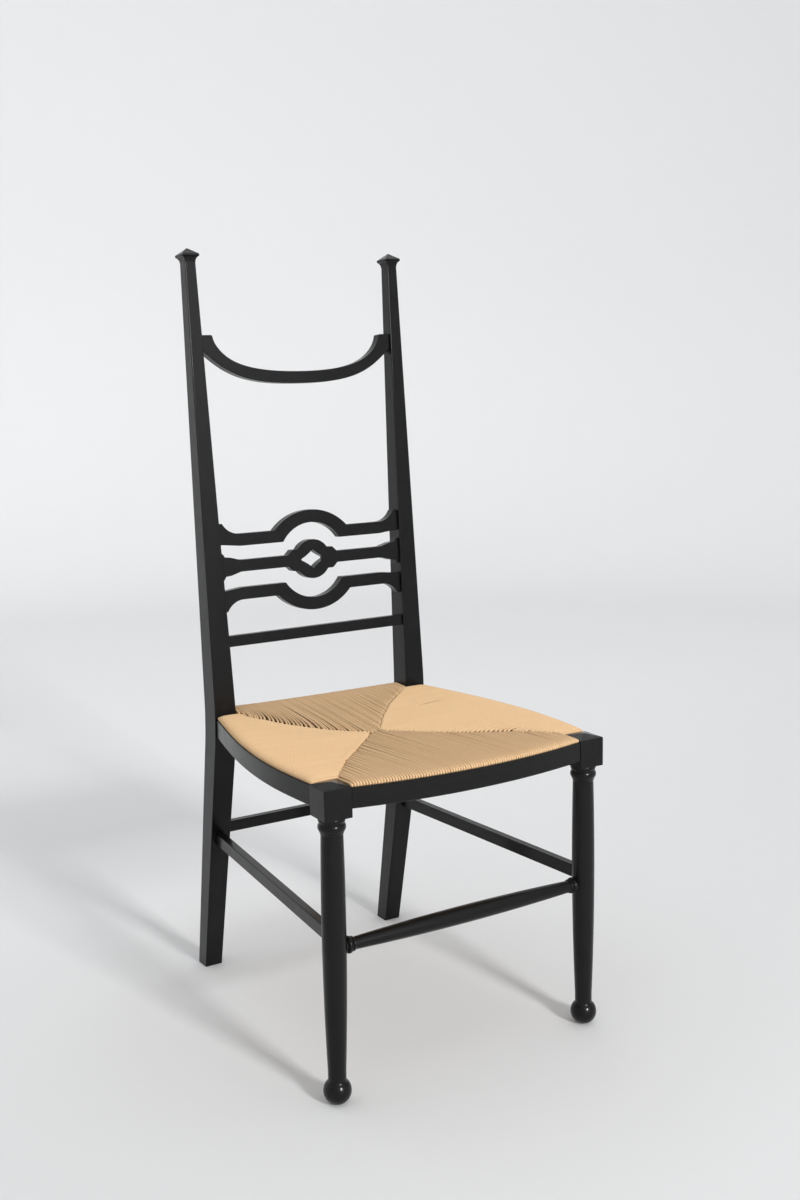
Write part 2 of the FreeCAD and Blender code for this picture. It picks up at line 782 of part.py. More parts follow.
def pin_places():
    """Start point and inward direction of each pin, for the front and the right side."""
    front = []
    height = band_bottom_height + band_height / 2
    step = 2 * (block_inner_x - pin_end_margin) / (pins_in_a_band - 1)
    radius = (block_inner_x ** 2 + front_bow ** 2) / (2 * front_bow)
    for index in range(pins_in_a_band):
        x = pin_end_margin - block_inner_x + index * step
        start = Vector(x, front_curve_y(x, 0), height)
        inward = Vector(-x / radius, math.sqrt(1 - (x / radius) ** 2), 0)
        front.append((start, inward))
    side = []
    curve = side_curve(0).Curve
    near = Vector(block_outer_x, block_back_y + pin_end_margin, 0)
    far = Vector(post_outer_x(band_bottom_height), knee_front_y - pin_end_margin, 0)
    first = curve.parameter(near)
    last = curve.parameter(far)
    for index in range(pins_in_a_band):
        at = first + (last - first) * index / (pins_in_a_band - 1)
        tangent = curve.tangent(at)[0]
        inward = Vector(-tangent.y, tangent.x, 0).normalize()
        spot = curve.value(at)
        side.append((Vector(spot.x, spot.y, height), inward))
    return front, side


def pins(gap):
    """Band pins, or with a gap the bores that they stand in."""
    front, side = pin_places()
    shapes = []
    for start, inward in front + side:
        shapes.append(Part.makeCylinder(
            pin_diameter / 2 + gap, pin_length + 2 * gap, start + inward * (pin_sink - gap), inward))
    left = [mirrored(shape) for shape in shapes[len(front):]]
    return shapes + left


def bevelled_band(band):
    edges = [edge for edge in long_edges(band, block_inner_x) if edge.BoundBox.ZLength < fit_gap]
    return band.makeChamfer(band_edge_bevel, edges)


def front_edge_band():
    reach = block_inner_x - seat_gap
    band = strip_between(
        front_curve(reach, 0), front_curve(reach, band_thickness),
        band_bottom_height, band_bottom_height + band_height)
    return less(bevelled_band(band), *pins(fit_gap))


def side_edge_band():
    band = strip_between(
        side_curve(0), side_curve(band_thickness),
        band_bottom_height, band_bottom_height + band_height)
    behind_block = box(
        0, block_outer_x + overrun, block_back_y + seat_gap, knee_front_y + overrun / 2,
        band_bottom_height - overrun, band_bottom_height + band_height + overrun)
    return less(bevelled_band(band).common(behind_block), right_post, *pins(fit_gap))


def seat_prism(inset, low, high):
    """Upright solid inside the bowed sides, at an inset from the bands' faces."""
    back_y = back_rail_y + rail_width / 2 + band_thickness + cord_layer + seat_gap - inset
    front_edge = front_curve(leg_x, inset)
    right_edge = side_curve(inset)
    front_right = Vector(leg_x, front_curve_y(leg_x, inset), 0)
    right_start = right_edge.Vertexes[0].Point
    right_end = right_edge.Vertexes[-1].Point
    corner_right = Vector(right_end.x, back_y, 0)
    corner_left = Vector(-right_end.x, back_y, 0)
    near = Part.LineSegment(front_right, right_start).toShape()
    far = Part.LineSegment(right_end, corner_right).toShape()
    across = Part.LineSegment(corner_right, corner_left).toShape()
    edges = [front_edge, near, right_edge, far, across, mirrored(far), mirrored(right_edge), mirrored(near)]
    face = Part.Face(Part.Wire(Part.__sortEdges__(edges)))
    prism = face.extrude(Vector(0, 0, high - low))
    prism.translate(Vector(0, 0, low))
    return prism


def seat_corner_cutters(clearance):
    """Upright boxes round the blocks and the back posts."""
    low = band_bottom_height - overrun
    high = seat_top_height + overrun
    block_box = box(
        block_inner_x - clearance, block_outer_x + overrun, block_front_y - overrun,
        block_back_y + clearance, low, high)
    post_box = box(
        post_inner_x(post_knee_height) - clearance, post_outer_x(post_knee_height) + overrun,
        knee_face_y - clearance, knee_back_y + overrun, low, high)
    return [block_box, mirrored(block_box), post_box, mirrored(post_box)]


def weave_corners():
    """Plan places where the diagonals of the weave start and meet, on the right side."""
    front = (block_inner_x, block_back_y)
    back = (post_inner_x(post_knee_height), knee_face_y)
    meeting = (seat_ridge_length / 2, leg_y + seat_middle)
    return front, back, meeting


def dish(drop):
    """Inverted hip roof that hollows the top of the seat along the diagonals of the weave."""
    front, back, meeting = weave_corners()
    rim = seat_top_height - drop
    low = rim - seat_dish
    front_left, front_right = Vector(-front[0], front[1], rim), Vector(front[0], front[1], rim)
    back_left, back_right = Vector(-back[0], back[1], rim), Vector(back[0], back[1], rim)
    ridge_left, ridge_right = Vector(-meeting[0], meeting[1], low), Vector(meeting[0], meeting[1], low)
    lid = seat_top_height + overrun
    cover = [Vector(point.x, point.y, lid) for point in (front_left, front_right, back_right, back_left)]
    loops = [
        cover,
        [front_left, front_right, cover[1], cover[0]],
        [front_right, back_right, cover[2], cover[1]],
        [back_right, back_left, cover[3], cover[2]],
        [back_left, front_left, cover[0], cover[3]],
        [front_left, front_right, ridge_right, ridge_left],
        [front_right, back_right, ridge_right],
        [back_right, back_left, ridge_left, ridge_right],
        [back_left, front_left, ridge_left]]
    faces = [Part.Face(Part.makePolygon(loop + loop[:1])) for loop in loops]
    return Part.makeSolid(Part.makeShell(faces))


def rush_seat():
    """Woven body: a dished top, a flat underside and a hollow for the rails and the stuffing."""
    outer = seat_prism(band_thickness, seat_underside_height, seat_top_height)
    outer = less(outer, *seat_corner_cutters(seat_gap))
    top_edges = [edge for edge in outer.Edges
                 if edge.BoundBox.ZMin > seat_top_height - fit_gap and edge.Length > block_side * 2]
    outer = outer.makeFillet(seat_roll_radius, top_edges)
    hollow = seat_prism(
        band_thickness + cord_layer, seat_underside_height + cord_layer, seat_top_height - cord_layer)
    return less(outer, dish(0), hollow.cut(dish(cord_layer)), *pins(fit_gap))


def upright_slab(start, end, low, high):
    """Thin upright wall in plan from one place to another, run on past both."""
    way = (end - start).normalize()
    aside = Vector(-way.y, way.x, 0) * (pad_gap / 2)
    first = start - way * overrun
    last = end + way * (pad_gap / 2)
    points = [first + aside, first - aside, last - aside, last + aside]
    wall = Part.Face(Part.makePolygon(points + points[:1])).extrude(Vector(0, 0, high - low))
    wall.translate(Vector(0, 0, low))
    return wall


def seat_stuffing():
    """Four folded card pads, one under each panel; two cords can cross on top of them."""
    low = rail_bottom_height
    crossing = 2 * cord_layer + seat_gap
    high = seat_top_height - crossing
    _, inner = rail_insets()
    body = seat_prism(inner + pad_gap, low, high)
    body = less(body, dish(crossing), *seat_corner_cutters(pad_gap))
    front, back, meeting = [Vector(x, y, 0) for x, y in weave_corners()]
    walls = [upright_slab(corner, meeting, low - overrun, high + overrun) for corner in (front, back)]
    ridge = box(
        -meeting.x, meeting.x, meeting.y - pad_gap / 2, meeting.y + pad_gap / 2,
        low - overrun, high + overrun)
    return less(body, ridge, *walls, *[mirrored(wall) for wall in walls])


def front_stretcher_tenon(gap):
    start = leg_axis_x(front_stretcher_height) - leg_belly_diameter / 2 - tenon_root
    length = tenon_root + front_tenon_length + gap
    return Part.makeCylinder(
        front_tenon_diameter / 2 + gap, length, Vector(start, leg_y, front_stretcher_height),
        Vector(1, 0, 0))


def leg_clearance(height):
    """Upright cylinder just larger than the shaft of the right leg at a height."""
    return Part.makeCylinder(
        leg_belly_diameter / 2 + seat_gap, 2 * overrun,
        Vector(leg_axis_x(height), leg_y, height - overrun))


def front_stretcher():
    """Turned stretcher that swells at its middle, with a bead and a smaller roll at each leg."""
    bead_end = leg_axis_x(front_stretcher_height) - leg_belly_diameter / 2
    roll_end = bead_end - front_bead_length
    body_end = roll_end - front_roll_length
    root_end = bead_end + tenon_root
    groove_radius = front_groove_diameter / 2
    end_radius = front_stretcher_end / 2

    def spot(x, radius):
        return Vector(radius, 0, x)

    swell = Part.BSplineCurve()
    swell.interpolate([
        spot(-body_end, end_radius), spot(0, front_stretcher_middle / 2), spot(body_end, end_radius)])
    right_steps = [
        (spot(body_end, end_radius), spot(body_end, groove_radius)),
        (spot(bead_end, groove_radius), spot(root_end, groove_radius)),
        (spot(root_end, groove_radius), spot(root_end, 0))]
    right_edges = [Part.LineSegment(start, end).toShape() for start, end in right_steps]
    right_edges += [
        bulge(groove_radius, front_roll_diameter / 2, body_end, roll_end),
        bulge(groove_radius, front_bead_diameter / 2, roll_end, bead_end)]
    left_edges = [edge.mirror(Vector(0, 0, 0), Vector(0, 0, 1)) for edge in right_edges]
    axis = Part.LineSegment(spot(-root_end, 0), spot(root_end, 0)).toShape()
    profile = Part.Wire(Part.__sortEdges__(right_edges + left_edges + [swell.toShape(), axis]))
    body = Part.Face(profile).revolve(Vector(0, 0, 0), Vector(0, 0, 1), 360)
    body.rotate(Vector(0, 0, 0), Vector(0, 1, 0), 90)
    body.translate(Vector(0, leg_y, front_stretcher_height))
    clearance = leg_clearance(front_stretcher_height)
    tenon = front_stretcher_tenon(0)
    return joined(less(body, clearance, mirrored(clearance)), tenon, mirrored(tenon))


side_start = Vector(leg_axis_x(side_stretcher_height), leg_y, side_stretcher_height)
side_post_y = post_front_y(side_stretcher_height)
side_end = Vector(
    post_centre_x(side_stretcher_height), side_post_y + post_foot_depth / 2, side_stretcher_height)
side_way = (side_end - side_start).normalize()
side_turn = math.degrees(math.asin(-side_way.x))
side_post_reach = (side_post_y - leg_y) / side_way.y


def along_the_side(start, end, width, depth):
    """Straight bar centred on the right side stretcher's line, between two distances from the leg."""
    bar = box(-width / 2, width / 2, start, end, -depth / 2, depth / 2)
    bar.rotate(Vector(0, 0, 0), Vector(0, 0, 1), side_turn)
    bar.translate(side_start)
    return bar


def side_front_tenon(gap):
    surface = leg_belly_diameter / 2
    return along_the_side(
        surface - side_front_tenon_length - gap, surface + tenon_root,
        side_tenon_thickness + 2 * gap, side_tenon_height + 2 * gap)


def side_back_tenon(gap):
    return along_the_side(
        side_post_reach - tenon_root, side_post_reach + side_back_tenon_length + gap,
        side_tenon_thickness + 2 * gap, side_tenon_height + 2 * gap)


def side_stretcher():
    bar = along_the_side(0, (side_end - side_start).Length, side_stretcher_width, side_stretcher_depth)
    bar = bar.makeFillet(stretcher_edge_radius, long_edges(bar, seat_depth / 2))
    body = less(bar, leg_clearance(side_stretcher_height), right_post)
    return joined(body, side_front_tenon(0), side_back_tenon(0))


def back_stretcher_middle_y():
    return post_front_y(back_stretcher_height) + back_stretcher_setback + back_stretcher_thickness / 2


def back_stretcher_tenon(gap):
    shoulder = post_inner_x(back_stretcher_height)
    y = back_stretcher_middle_y()
    half = back_tenon_thickness / 2 + gap
    return box(
        shoulder - tenon_root, shoulder + back_tenon_length + gap, y - half, y + half,
        back_stretcher_height - back_tenon_height / 2 - gap,
        back_stretcher_height + back_tenon_height / 2 + gap)


def back_stretcher():
    reach = post_centre_x(back_stretcher_height)
    y = back_stretcher_middle_y()
    half = back_stretcher_thickness / 2
    bar = box(
        -reach, reach, y - half, y + half, back_stretcher_height - back_stretcher_depth / 2,
        back_stretcher_height + back_stretcher_depth / 2)
    bar = bar.makeFillet(stretcher_edge_radius, long_edges(bar, reach))
    tenon = back_stretcher_tenon(0)
    return joined(less(bar, right_post, left_post), tenon, mirrored(tenon))


def front_leg():
    return less(
        raw_front_leg(), front_rail_tenon(fit_gap), side_rail_front_tenon(fit_gap),
        front_stretcher_tenon(fit_gap), side_front_tenon(fit_gap))


def back_post():
    mortises = [
        crest_tenons(fit_gap), slat_tenons(arches_height + slat_pitch, fit_gap),
        slat_tenons(middle_slat_height, fit_gap), slat_tenons(arches_height - slat_pitch, fit_gap),
        rung_tenons(fit_gap), back_rail_tenon(fit_gap), side_rail_back_tenon(fit_gap),
        side_back_tenon(fit_gap), back_stretcher_tenon(fit_gap)]
    return less(right_post, *mortises)


def export(name, shape):
    solids = shape.Solids
    whole = solids[0] if len(solids) == 1 else Part.makeCompound(solids)
    whole.exportStep(os.path.join("parts", name + ".step"))
    print(name, len(solids), "solids", round(whole.Volume), "mm3", "valid" if whole.isValid() else "BAD")


def build_chair():
    """Every piece of the chair by its name; a left piece mirrors its right one."""
    bores = pins(fit_gap)
    pieces = {
        "crest_rail": crest_rail(),
        "upper_slat": upper_slat(),
        "middle_slat": middle_slat(),
        "lower_slat": lower_slat(),
        "back_rung": back_rung(),
        "front_seat_rail": less(front_seat_rail(), *bores),
        "back_seat_rail": back_seat_rail(),
        "front_edge_band": front_edge_band(),
        "band_pins": Part.makeCompound(pins(0)),
        "front_stretcher": front_stretcher(),
        "back_stretcher": back_stretcher(),
        "rush_seat": rush_seat(),
        "seat_stuffing": seat_stuffing()}
    paired = {
        "front_leg": front_leg(),
        "back_post": back_post(),
        "side_seat_rail": less(side_seat_rail(), *bores),
        "side_edge_band": side_edge_band(),
        "side_stretcher": side_stretcher()}
    for name, shape in paired.items():
        pieces[name + "_right"] = shape
        pieces[name + "_left"] = mirrored(shape)
    return pieces


os.makedirs("parts", exist_ok=True)
for piece_name, piece_shape in build_chair().items():
    export(piece_name, piece_shape)
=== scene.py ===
"""Dresses a packed tall back side chair: satin black paint, a wound cord seat, and a pale studio."""

import math
import random

import bmesh
import bpy
from bpy.props import FloatProperty, FloatVectorProperty, IntProperty, PointerProperty
from mathutils import Matrix, Vector
from mathutils.bvhtree import BVHTree


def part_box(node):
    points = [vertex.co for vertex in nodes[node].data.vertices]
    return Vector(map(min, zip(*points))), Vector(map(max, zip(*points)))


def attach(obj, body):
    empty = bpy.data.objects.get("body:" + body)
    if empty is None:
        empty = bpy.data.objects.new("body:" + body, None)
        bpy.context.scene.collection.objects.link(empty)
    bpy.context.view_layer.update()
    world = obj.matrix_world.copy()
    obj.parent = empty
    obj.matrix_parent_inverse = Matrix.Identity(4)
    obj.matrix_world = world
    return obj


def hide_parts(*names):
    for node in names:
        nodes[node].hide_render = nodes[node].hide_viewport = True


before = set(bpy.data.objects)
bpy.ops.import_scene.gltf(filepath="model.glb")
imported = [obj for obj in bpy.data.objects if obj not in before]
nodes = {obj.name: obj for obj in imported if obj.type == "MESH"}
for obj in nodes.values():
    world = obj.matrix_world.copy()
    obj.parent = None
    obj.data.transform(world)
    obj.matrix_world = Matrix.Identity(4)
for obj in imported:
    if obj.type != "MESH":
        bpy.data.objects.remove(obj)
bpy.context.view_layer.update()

bl_info = {
    "name": "Tall back side chair",
    "version": (1, 0, 0),
    "blender": (4, 5, 0),
    "location": "View3D > Sidebar > Chair",
    "description": "Paints the chair's wood, winds its cord seat and sets the studio",
    "category": "Object",
}

MM = 0.001
ROOT = "root"

# The chair's wooden pieces by the direction of their grain
UPRIGHT_WOOD = ("front_leg_left", "front_leg_right", "back_post_left", "back_post_right")
CROSS_WOOD = (
    "crest_rail", "upper_slat", "middle_slat", "lower_slat", "back_rung",
    "front_edge_band", "front_stretcher", "back_stretcher")
DEEP_WOOD = ("side_edge_band_left", "side_edge_band_right", "side_stretcher_left", "side_stretcher_right")
HIDDEN_CROSS_WOOD = ("front_seat_rail", "back_seat_rail")
HIDDEN_DEEP_WOOD = ("side_seat_rail_left", "side_seat_rail_right")

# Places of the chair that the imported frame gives
seat_low, seat_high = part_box("rush_seat")
seat_middle = (seat_low.z + seat_high.z) / 2
leg_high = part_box("front_leg_left")[1]
block_inner = -leg_high.x
block_back = leg_high.y
post_low, post_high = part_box("back_post_left")
post_inner = -post_high.x
post_front = post_low.y
band_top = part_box("front_edge_band")[1].z

# Colours of the dust and the wear on the paint
DUST = (0.10, 0.095, 0.09)
WORN_PAINT = (0.018, 0.016, 0.015)

# Colours of the pins' blackened steel
DARK_STEEL = (0.02, 0.02, 0.021)
BRIGHT_STEEL = (0.07, 0.068, 0.066)

# Colours of the aged and the pale lengths of cord
AGED_CORD = (0.60, 0.37, 0.17)
PALE_CORD = (0.76, 0.56, 0.35)

# Marks of a finish in a metre, across and along the grain
PAINT_GRAIN = (700.0, 14.0)
BRUSH_MARKS = (260.0, 5.0)
SAWN_GRAIN = (520.0, 9.0)

# Marks of a finish in a metre, all ways
PAINT_CLOUDS = 38.0
PAINT_PEEL = 420.0
DUST_SPECKS = 900.0
CARD_FIBRES = 650.0
CARD_CREASES = 45.0
STEEL_SPOTS = 1500.0
CORD_FIBRES = 1100.0
CORD_CLOUDS = 32.0

# Heights of the relief on each finish
PAINT_RELIEF = 0.25 * MM
WOOD_RELIEF = 0.3 * MM
CARD_RELIEF = 0.5 * MM
STEEL_RELIEF = 0.05 * MM
CORD_RELIEF = 0.4 * MM

# The strands that are twisted into a cord, and how far a cord's tint turns its twist, in radians
CORD_STRANDS = 3.0
TINT_TURN = 40.0

# Depth below the seat's top at which its sides are straight
PROBE_DEPTH = 15 * MM

# The free room beside the outermost cord, and the least length that a share is taken of
CORD_GAP = 0.3 * MM
LEAST_LENGTH = 1 * MM

# Steps of a cord's turns under and over its rail, and of its run on top
UNDER_STEPS = 3
ROLL_STEPS = 5
RUN_STEPS = 8

# How late a cord's run sinks into the dish, and the length of its last stretch, which dives
RUN_SAG = 1.25
DIVE_LENGTH = 12 * MM

# How far the cords lap out over the tops of the bands, and the length over which they rise from there
BAND_LAP = 3.6 * MM
BAND_ROLL = 12 * MM

# A cord's points at the edge of a band: out as shares of the lap, and up as shares of the cord's radius
BAND_EDGE_SHARES = ((0.0, -0.5), (0.6, 0.4))

# The end of a cord that turns down at its seam: in and up as shares of its radius
DROP_SHARES = ((-0.5, 0.0), (0.4, -0.4), (0.75, -1.5))

# The dive of a cord that passes below its seam: in and down as shares of the dive's length and depth
DIVE_SHARES = ((-0.7, 0.1), (-0.3, 0.75))

# How deep the dive goes, and where its cord lies past the seam, as shares of the cord's radius
DIVE_DEPTH_SHARE = 2
DIVE_REACH_SHARES = (0.4, 2)

# The first part of a seam, by its corner of the seat, and the share of a dive that is left at the corner
CORNER_PART = 0.2
CORNER_DIVE_SHARE = 0.3

# Lean of the back's cords to the left at their left seam, its length, and the power that draws it early
BACK_LEAN = 10.5 * MM
BACK_LEAN_LENGTH = 60 * MM
BACK_LEAN_EARLY = 0.85

# The most that a leaning cord takes of its room beside the left post
LEAN_ROOM_SHARE = 0.4

# Lean of the right panel's cords to the front by the right block, its length, and its part of the seam
RIGHT_LEAN = 5.5 * MM
RIGHT_LEAN_LENGTH = 16 * MM
RIGHT_LEAN_PART = 0.55

# The share of its thickness that a leaning cord loses
SQUEEZE_SHARE = 0.1

# How many cords close up to each other at a seam, and how late on their run they do
BUNCH_SIZES = (1, 1, 2, 2, 3)
BUNCH_LATE = 1.8

# Shares of the bunching that the side panels, and the right seams of the other two, have
ACROSS_BUNCH_SHARE = 0.06
RIGHT_BUNCH_SHARE = 0.55

# How deep the outermost cord is tucked down by a block or post, and the share that each next one keeps
TUCK_DEPTH = 2.8 * MM
TUCK_FADE_SHARE = 0.42

# How much higher the back panel lies by the left post, and the length over which that fades
POST_RISE = 3.2 * MM
POST_RISE_LENGTH = 70 * MM

# How far a cord sways to a side on its run, in the side panels and in the other two
ACROSS_SWAY = 0.21 * MM
DEEP_SWAY = 0.91 * MM

# The shares of its run between which a cord sways most, and the share over which that fades
SWAY_FROM_SHARE = 0.3
SWAY_TO_SHARE = 0.8
SWAY_FADE_SHARE = 0.5

# How far a cord sinks by its seam, in the side panels and in the other two, and how rare that is
ACROSS_SINK = 0.39 * MM
DEEP_SINK = 1.69 * MM
SINK_RARITY = 3

# How far the ends of the cords stray at a seam, in its first part, and as a share at its corner
RAGGED_SEAM = 1.1 * MM
RAGGED_CORNER = 2.2 * MM
CORNER_RAGGED_SHARE = 0.3

# The thinnest cord's share of its room, in the side panels and in the other two
ACROSS_THIN_SHARE = 0.96
DEEP_THIN_SHARE = 0.84

# Slits between cords of the right panel: start and end across the seat, depth in it, and width
SLITS = (
    (94 * MM, 172 * MM, 52 * MM, 8.5 * MM), (130 * MM, 168 * MM, -156 * MM, 4.5 * MM))

# The number of cords over which the move beside a slit fades
SLIT_CORDS = 3

# Plan places of the seams, from a corner of the seat to the short ridge in the middle
SEAM_INSET = 1 * MM
RIDGE_LEFT = (-22 * MM, -19 * MM)
RIDGE_RIGHT = (0 * MM, -16 * MM)
FRONT_LEFT_BENDS = ((-140 * MM, -155 * MM), (-88 * MM, -95 * MM), (-50 * MM, -52 * MM))
FRONT_RIGHT_BENDS = ((136 * MM, -160 * MM), (70 * MM, -98 * MM), (30 * MM, -50 * MM))
BACK_LEFT_BENDS = ((-148 * MM, 122 * MM), (-118 * MM, 72 * MM), (-68 * MM, 14 * MM))
BACK_RIGHT_BENDS = ((128 * MM, 132 * MM), (80 * MM, 88 * MM), (38 * MM, 38 * MM))

# The photograph's camera, in the chair's own frame, with its lens and sensor in millimetres
CAMERA_PLACE = (-1.0106, -1.7483, 0.9702)
CAMERA_TURN = math.radians(-31.19)
CAMERA_DIP = math.radians(9.69)
CAMERA_ROLL = math.radians(-1.07)
CAMERA_LENS = 41.47
SENSOR_LONG_SIDE = 36.0

# The round cove: its flat floor, the bend up into its wall, and the wall's top
FLOOR_RADIUS = 3.6
COVE_BEND = 1.4
WALL_HEIGHT = 4.5

# Divisions of the cove round its middle, and up its bend
COVE_SIDES = 96
BEND_STEPS = 12

# Depths between which the floor's colour turns into the backdrop's, and what height counts against depth:
# painted shade on the floor in front of the chair, painted light behind it and up the wall
PAINTED_LIGHT_FROM = -0.4
PAINTED_LIGHT_FULL = 1.6
PAINTED_LIGHT_RISE = 4.0

# The large lamp in front of the chair: its place, what it points at, its side and its spread
KEY_PLACE = (0.36, -4.5, 2.05)
KEY_TARGET = (0.0, 0.0, 0.45)
KEY_SIDE = 0.72
KEY_SPREAD = math.radians(120)

# The faintly blue colour of the even light
SKY_COLOUR = (0.97, 0.985, 1.0)


# Sizes and colours that a user would change

class PaintSettings(bpy.types.PropertyGroup):
    """Finish of the painted and the bare wood, and of the card in the seat."""

    paint_colour: FloatVectorProperty(
        name="Paint", description="Colour of the black paint", subtype="COLOR",
        size=3, min=0, max=1, default=(0.004, 0.0039, 0.004))
    paint_roughness: FloatProperty(
        name="Paint roughness", description="Least roughness of the satin paint", subtype="FACTOR",
        min=0, max=1, default=0.29)
    bare_colour: FloatVectorProperty(
        name="Bare wood", description="Colour of the unpainted rails", subtype="COLOR",
        size=3, min=0, max=1, default=(0.46, 0.29, 0.14))
    card_colour: FloatVectorProperty(
        name="Card", description="Colour of the card that stuffs the seat", subtype="COLOR",
        size=3, min=0, max=1, default=(0.27, 0.155, 0.075))


class CordSettings(bpy.types.PropertyGroup):
    """Sizes and colours of the wound seat."""

    pitch: FloatProperty(
        name="Pitch", description="Distance between the middles of two cords on a rail",
        subtype="DISTANCE", unit="LENGTH", min=0.002, max=0.01, default=4.0 * MM)
    roll_radius: FloatProperty(
        name="Roll", description="Outer radius of the cord's turn over the top of a rail",
        subtype="DISTANCE", unit="LENGTH", min=0.003, max=0.02, default=9.0 * MM)
    under_radius: FloatProperty(
        name="Under roll", description="Outer radius of the cord's turn under a rail",
        subtype="DISTANCE", unit="LENGTH", min=0.003, max=0.02, default=6.0 * MM)
    dish: FloatProperty(
        name="Dish", description="Depth of the middle of the seat below its rails",
        subtype="DISTANCE", unit="LENGTH", min=0, max=0.03, default=11.0 * MM)
    bunching: FloatProperty(
        name="Bunching", description="How far cords close up to each other at the left seams",
        subtype="DISTANCE", unit="LENGTH", min=0, max=0.002, default=1.3 * MM)
    sides: IntProperty(
        name="Sides", description="Faces round a cord", min=5, max=16, default=8)
    twist: FloatProperty(
        name="Twist", description="Length along the cord of one turn of its twist",
        subtype="DISTANCE", unit="LENGTH", min=0.003, max=0.1, default=17.0 * MM)
    seed: IntProperty(name="Seed", description="Seed of the cords' small differences", min=0, default=7)
    colour: FloatVectorProperty(
        name="Cord", description="Colour of the paper cord", subtype="COLOR",
        size=3, min=0, max=1, default=(0.66, 0.445, 0.25))
    # The darkest cord colour: painted shade between the strands, and dark flecks of fibre
    fibre_and_groove_shade_colour: FloatVectorProperty(
        name="Cord in the grooves", description="Colour between the strands", subtype="COLOR",
        size=3, min=0, max=1, default=(0.42, 0.26, 0.13))


class StageSettings(bpy.types.PropertyGroup):
    """The studio's backdrop and lights."""

    # The darker floor and the paler wall carry painted shade and painted light across the cove
    floor_colour: FloatVectorProperty(
        name="Floor", description="Colour of the floor", subtype="COLOR",
        size=3, min=0, max=1, default=(0.68, 0.68, 0.68))
    wall_colour: FloatVectorProperty(
        name="Wall", description="Colour of the backdrop behind the chair", subtype="COLOR",
        size=3, min=0, max=1, default=(0.78, 0.78, 0.782))
    key_power: FloatProperty(
        name="Key", description="Power of the large lamp in front", subtype="POWER", unit="POWER",
        min=0, default=16.8)
    sky_strength: FloatProperty(
        name="Sky", description="Brightness of the even light from all round",
        subtype="FACTOR", min=0, max=2, default=0.92)


# Node helpers

def connect(tree, slot, value):
    """Links a Value to a socket, or writes a plain number, colour or vector on it."""
    if isinstance(value, Value):
        tree.links.new(value.socket, slot)
    else:
        slot.default_value = value


class Value:
    """A socket whose sums with numbers and other sockets add Math nodes."""

    def __init__(self, tree, socket):
        self.tree = tree
        self.socket = socket

    def math_node(self, operation, *terms):
        """What a Math node makes of its terms."""
        node = self.tree.nodes.new("ShaderNodeMath")
        node.operation = operation
        for slot, term in zip(node.inputs, terms):
            connect(self.tree, slot, term)
        return Value(self.tree, node.outputs[0])

    def __add__(self, other):
        return self.math_node("ADD", self, other)

    def __sub__(self, other):
        return self.math_node("SUBTRACT", self, other)

    def __rsub__(self, other):
        return self.math_node("SUBTRACT", other, self)

    def __mul__(self, other):
        return self.math_node("MULTIPLY", self, other)

    __radd__ = __add__
    __rmul__ = __mul__

    def sine(self):
        return self.math_node("SINE", self)

    def cosine(self):
        return self.math_node("COSINE", self)

    def arctan2(self, across):
        """Angle of a point from its height, which is this value, and its place across."""
        return self.math_node("ARCTAN2", self, across)


class NodeBench:
    """Adds nodes to a tree: their settings first, then the values or links of their sockets."""

    def __init__(self, tree):
        self.tree = tree

    def add(self, kind, settings=None, sockets=None, output=0):
        """A node of a type, as the Value of one of its outputs."""
        node = self.tree.nodes.new(kind)
        for name, value in (settings or {}).items():
            if name == "stops":
                set_stops(node.color_ramp, value)
            else:
                setattr(node, name, value)
        for name, value in (sockets or {}).items():
            connect(self.tree, node.inputs[name], value)
        return Value(self.tree, node.outputs[output]) if node.outputs else node

    def place(self):
        """The piece's own coordinates, in metres."""
        return self.add("ShaderNodeTexCoord", output="Object")

    def part(self, vector, axis):
        """One coordinate of a vector."""
        return self.add("ShaderNodeSeparateXYZ", sockets={"Vector": vector}, output=axis)

    def noise(self, place, marks, detail, roughness=0.5):
        """Soft marks, so many in a metre."""
        return self.add("ShaderNodeTexNoise", sockets={
            "Vector": place, "Scale": marks, "Detail": detail, "Roughness": roughness})

    def ramp(self, value, first, second):
        """Greys between two stops, each a place and a level."""
        stops = [(place, grey(level)) for place, level in (first, second)]
        return self.add("ShaderNodeValToRGB", {"stops": stops}, {"Fac": value})

    def mixed(self, share, first, second):
        """A colour between two colours."""
        return self.add("ShaderNodeMix", {"data_type": "RGBA"}, {0: share, 6: first, 7: second}, output=2)

    def relief(self, strength, distance, height):
        """A normal that follows a height."""
        return self.add("ShaderNodeBump", sockets={
            "Strength": strength, "Distance": distance, "Height": height})


def set_stops(ramp, stops):
    """Writes a ramp's stops, of which a new ramp has two."""
    for index, (place, colour) in enumerate(stops):
        stop = ramp.elements[index] if index < 2 else ramp.elements.new(place)
        stop.position = place
        stop.color = colour


def grey(level):
    return (level, level, level, 1.0)


def opaque(colour):
    return (*colour, 1.0)


def darker(colour, share):
    """A colour with a share of its light."""
    return opaque([part * share for part in colour])


def new_finish(name):
    """An empty material and the bench that builds it."""
    material = bpy.data.materials.new(name)
    material.use_nodes = True
    material.node_tree.nodes.clear()
    return material, NodeBench(material.node_tree)


def close_finish(bench, sockets):
    """Ends a material in one Principled shader."""
    shader = bench.add("ShaderNodeBsdfPrincipled", sockets=sockets)
    bench.add("ShaderNodeOutputMaterial", sockets={"Surface": shader})


def dress(names, material):
    """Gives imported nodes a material."""
    for name in names:
        for slot in nodes[name].material_slots:
            slot.material = material


# Finishes

def grain_place(bench, axis, marks):
    """A piece's coordinates, scaled to marks in a metre across its grain and along it."""
    across, along = marks
    scale = [along if name == axis else across for name in "xyz"]
    return bench.add("ShaderNodeMapping", sockets={"Vector": bench.place(), "Scale": scale})


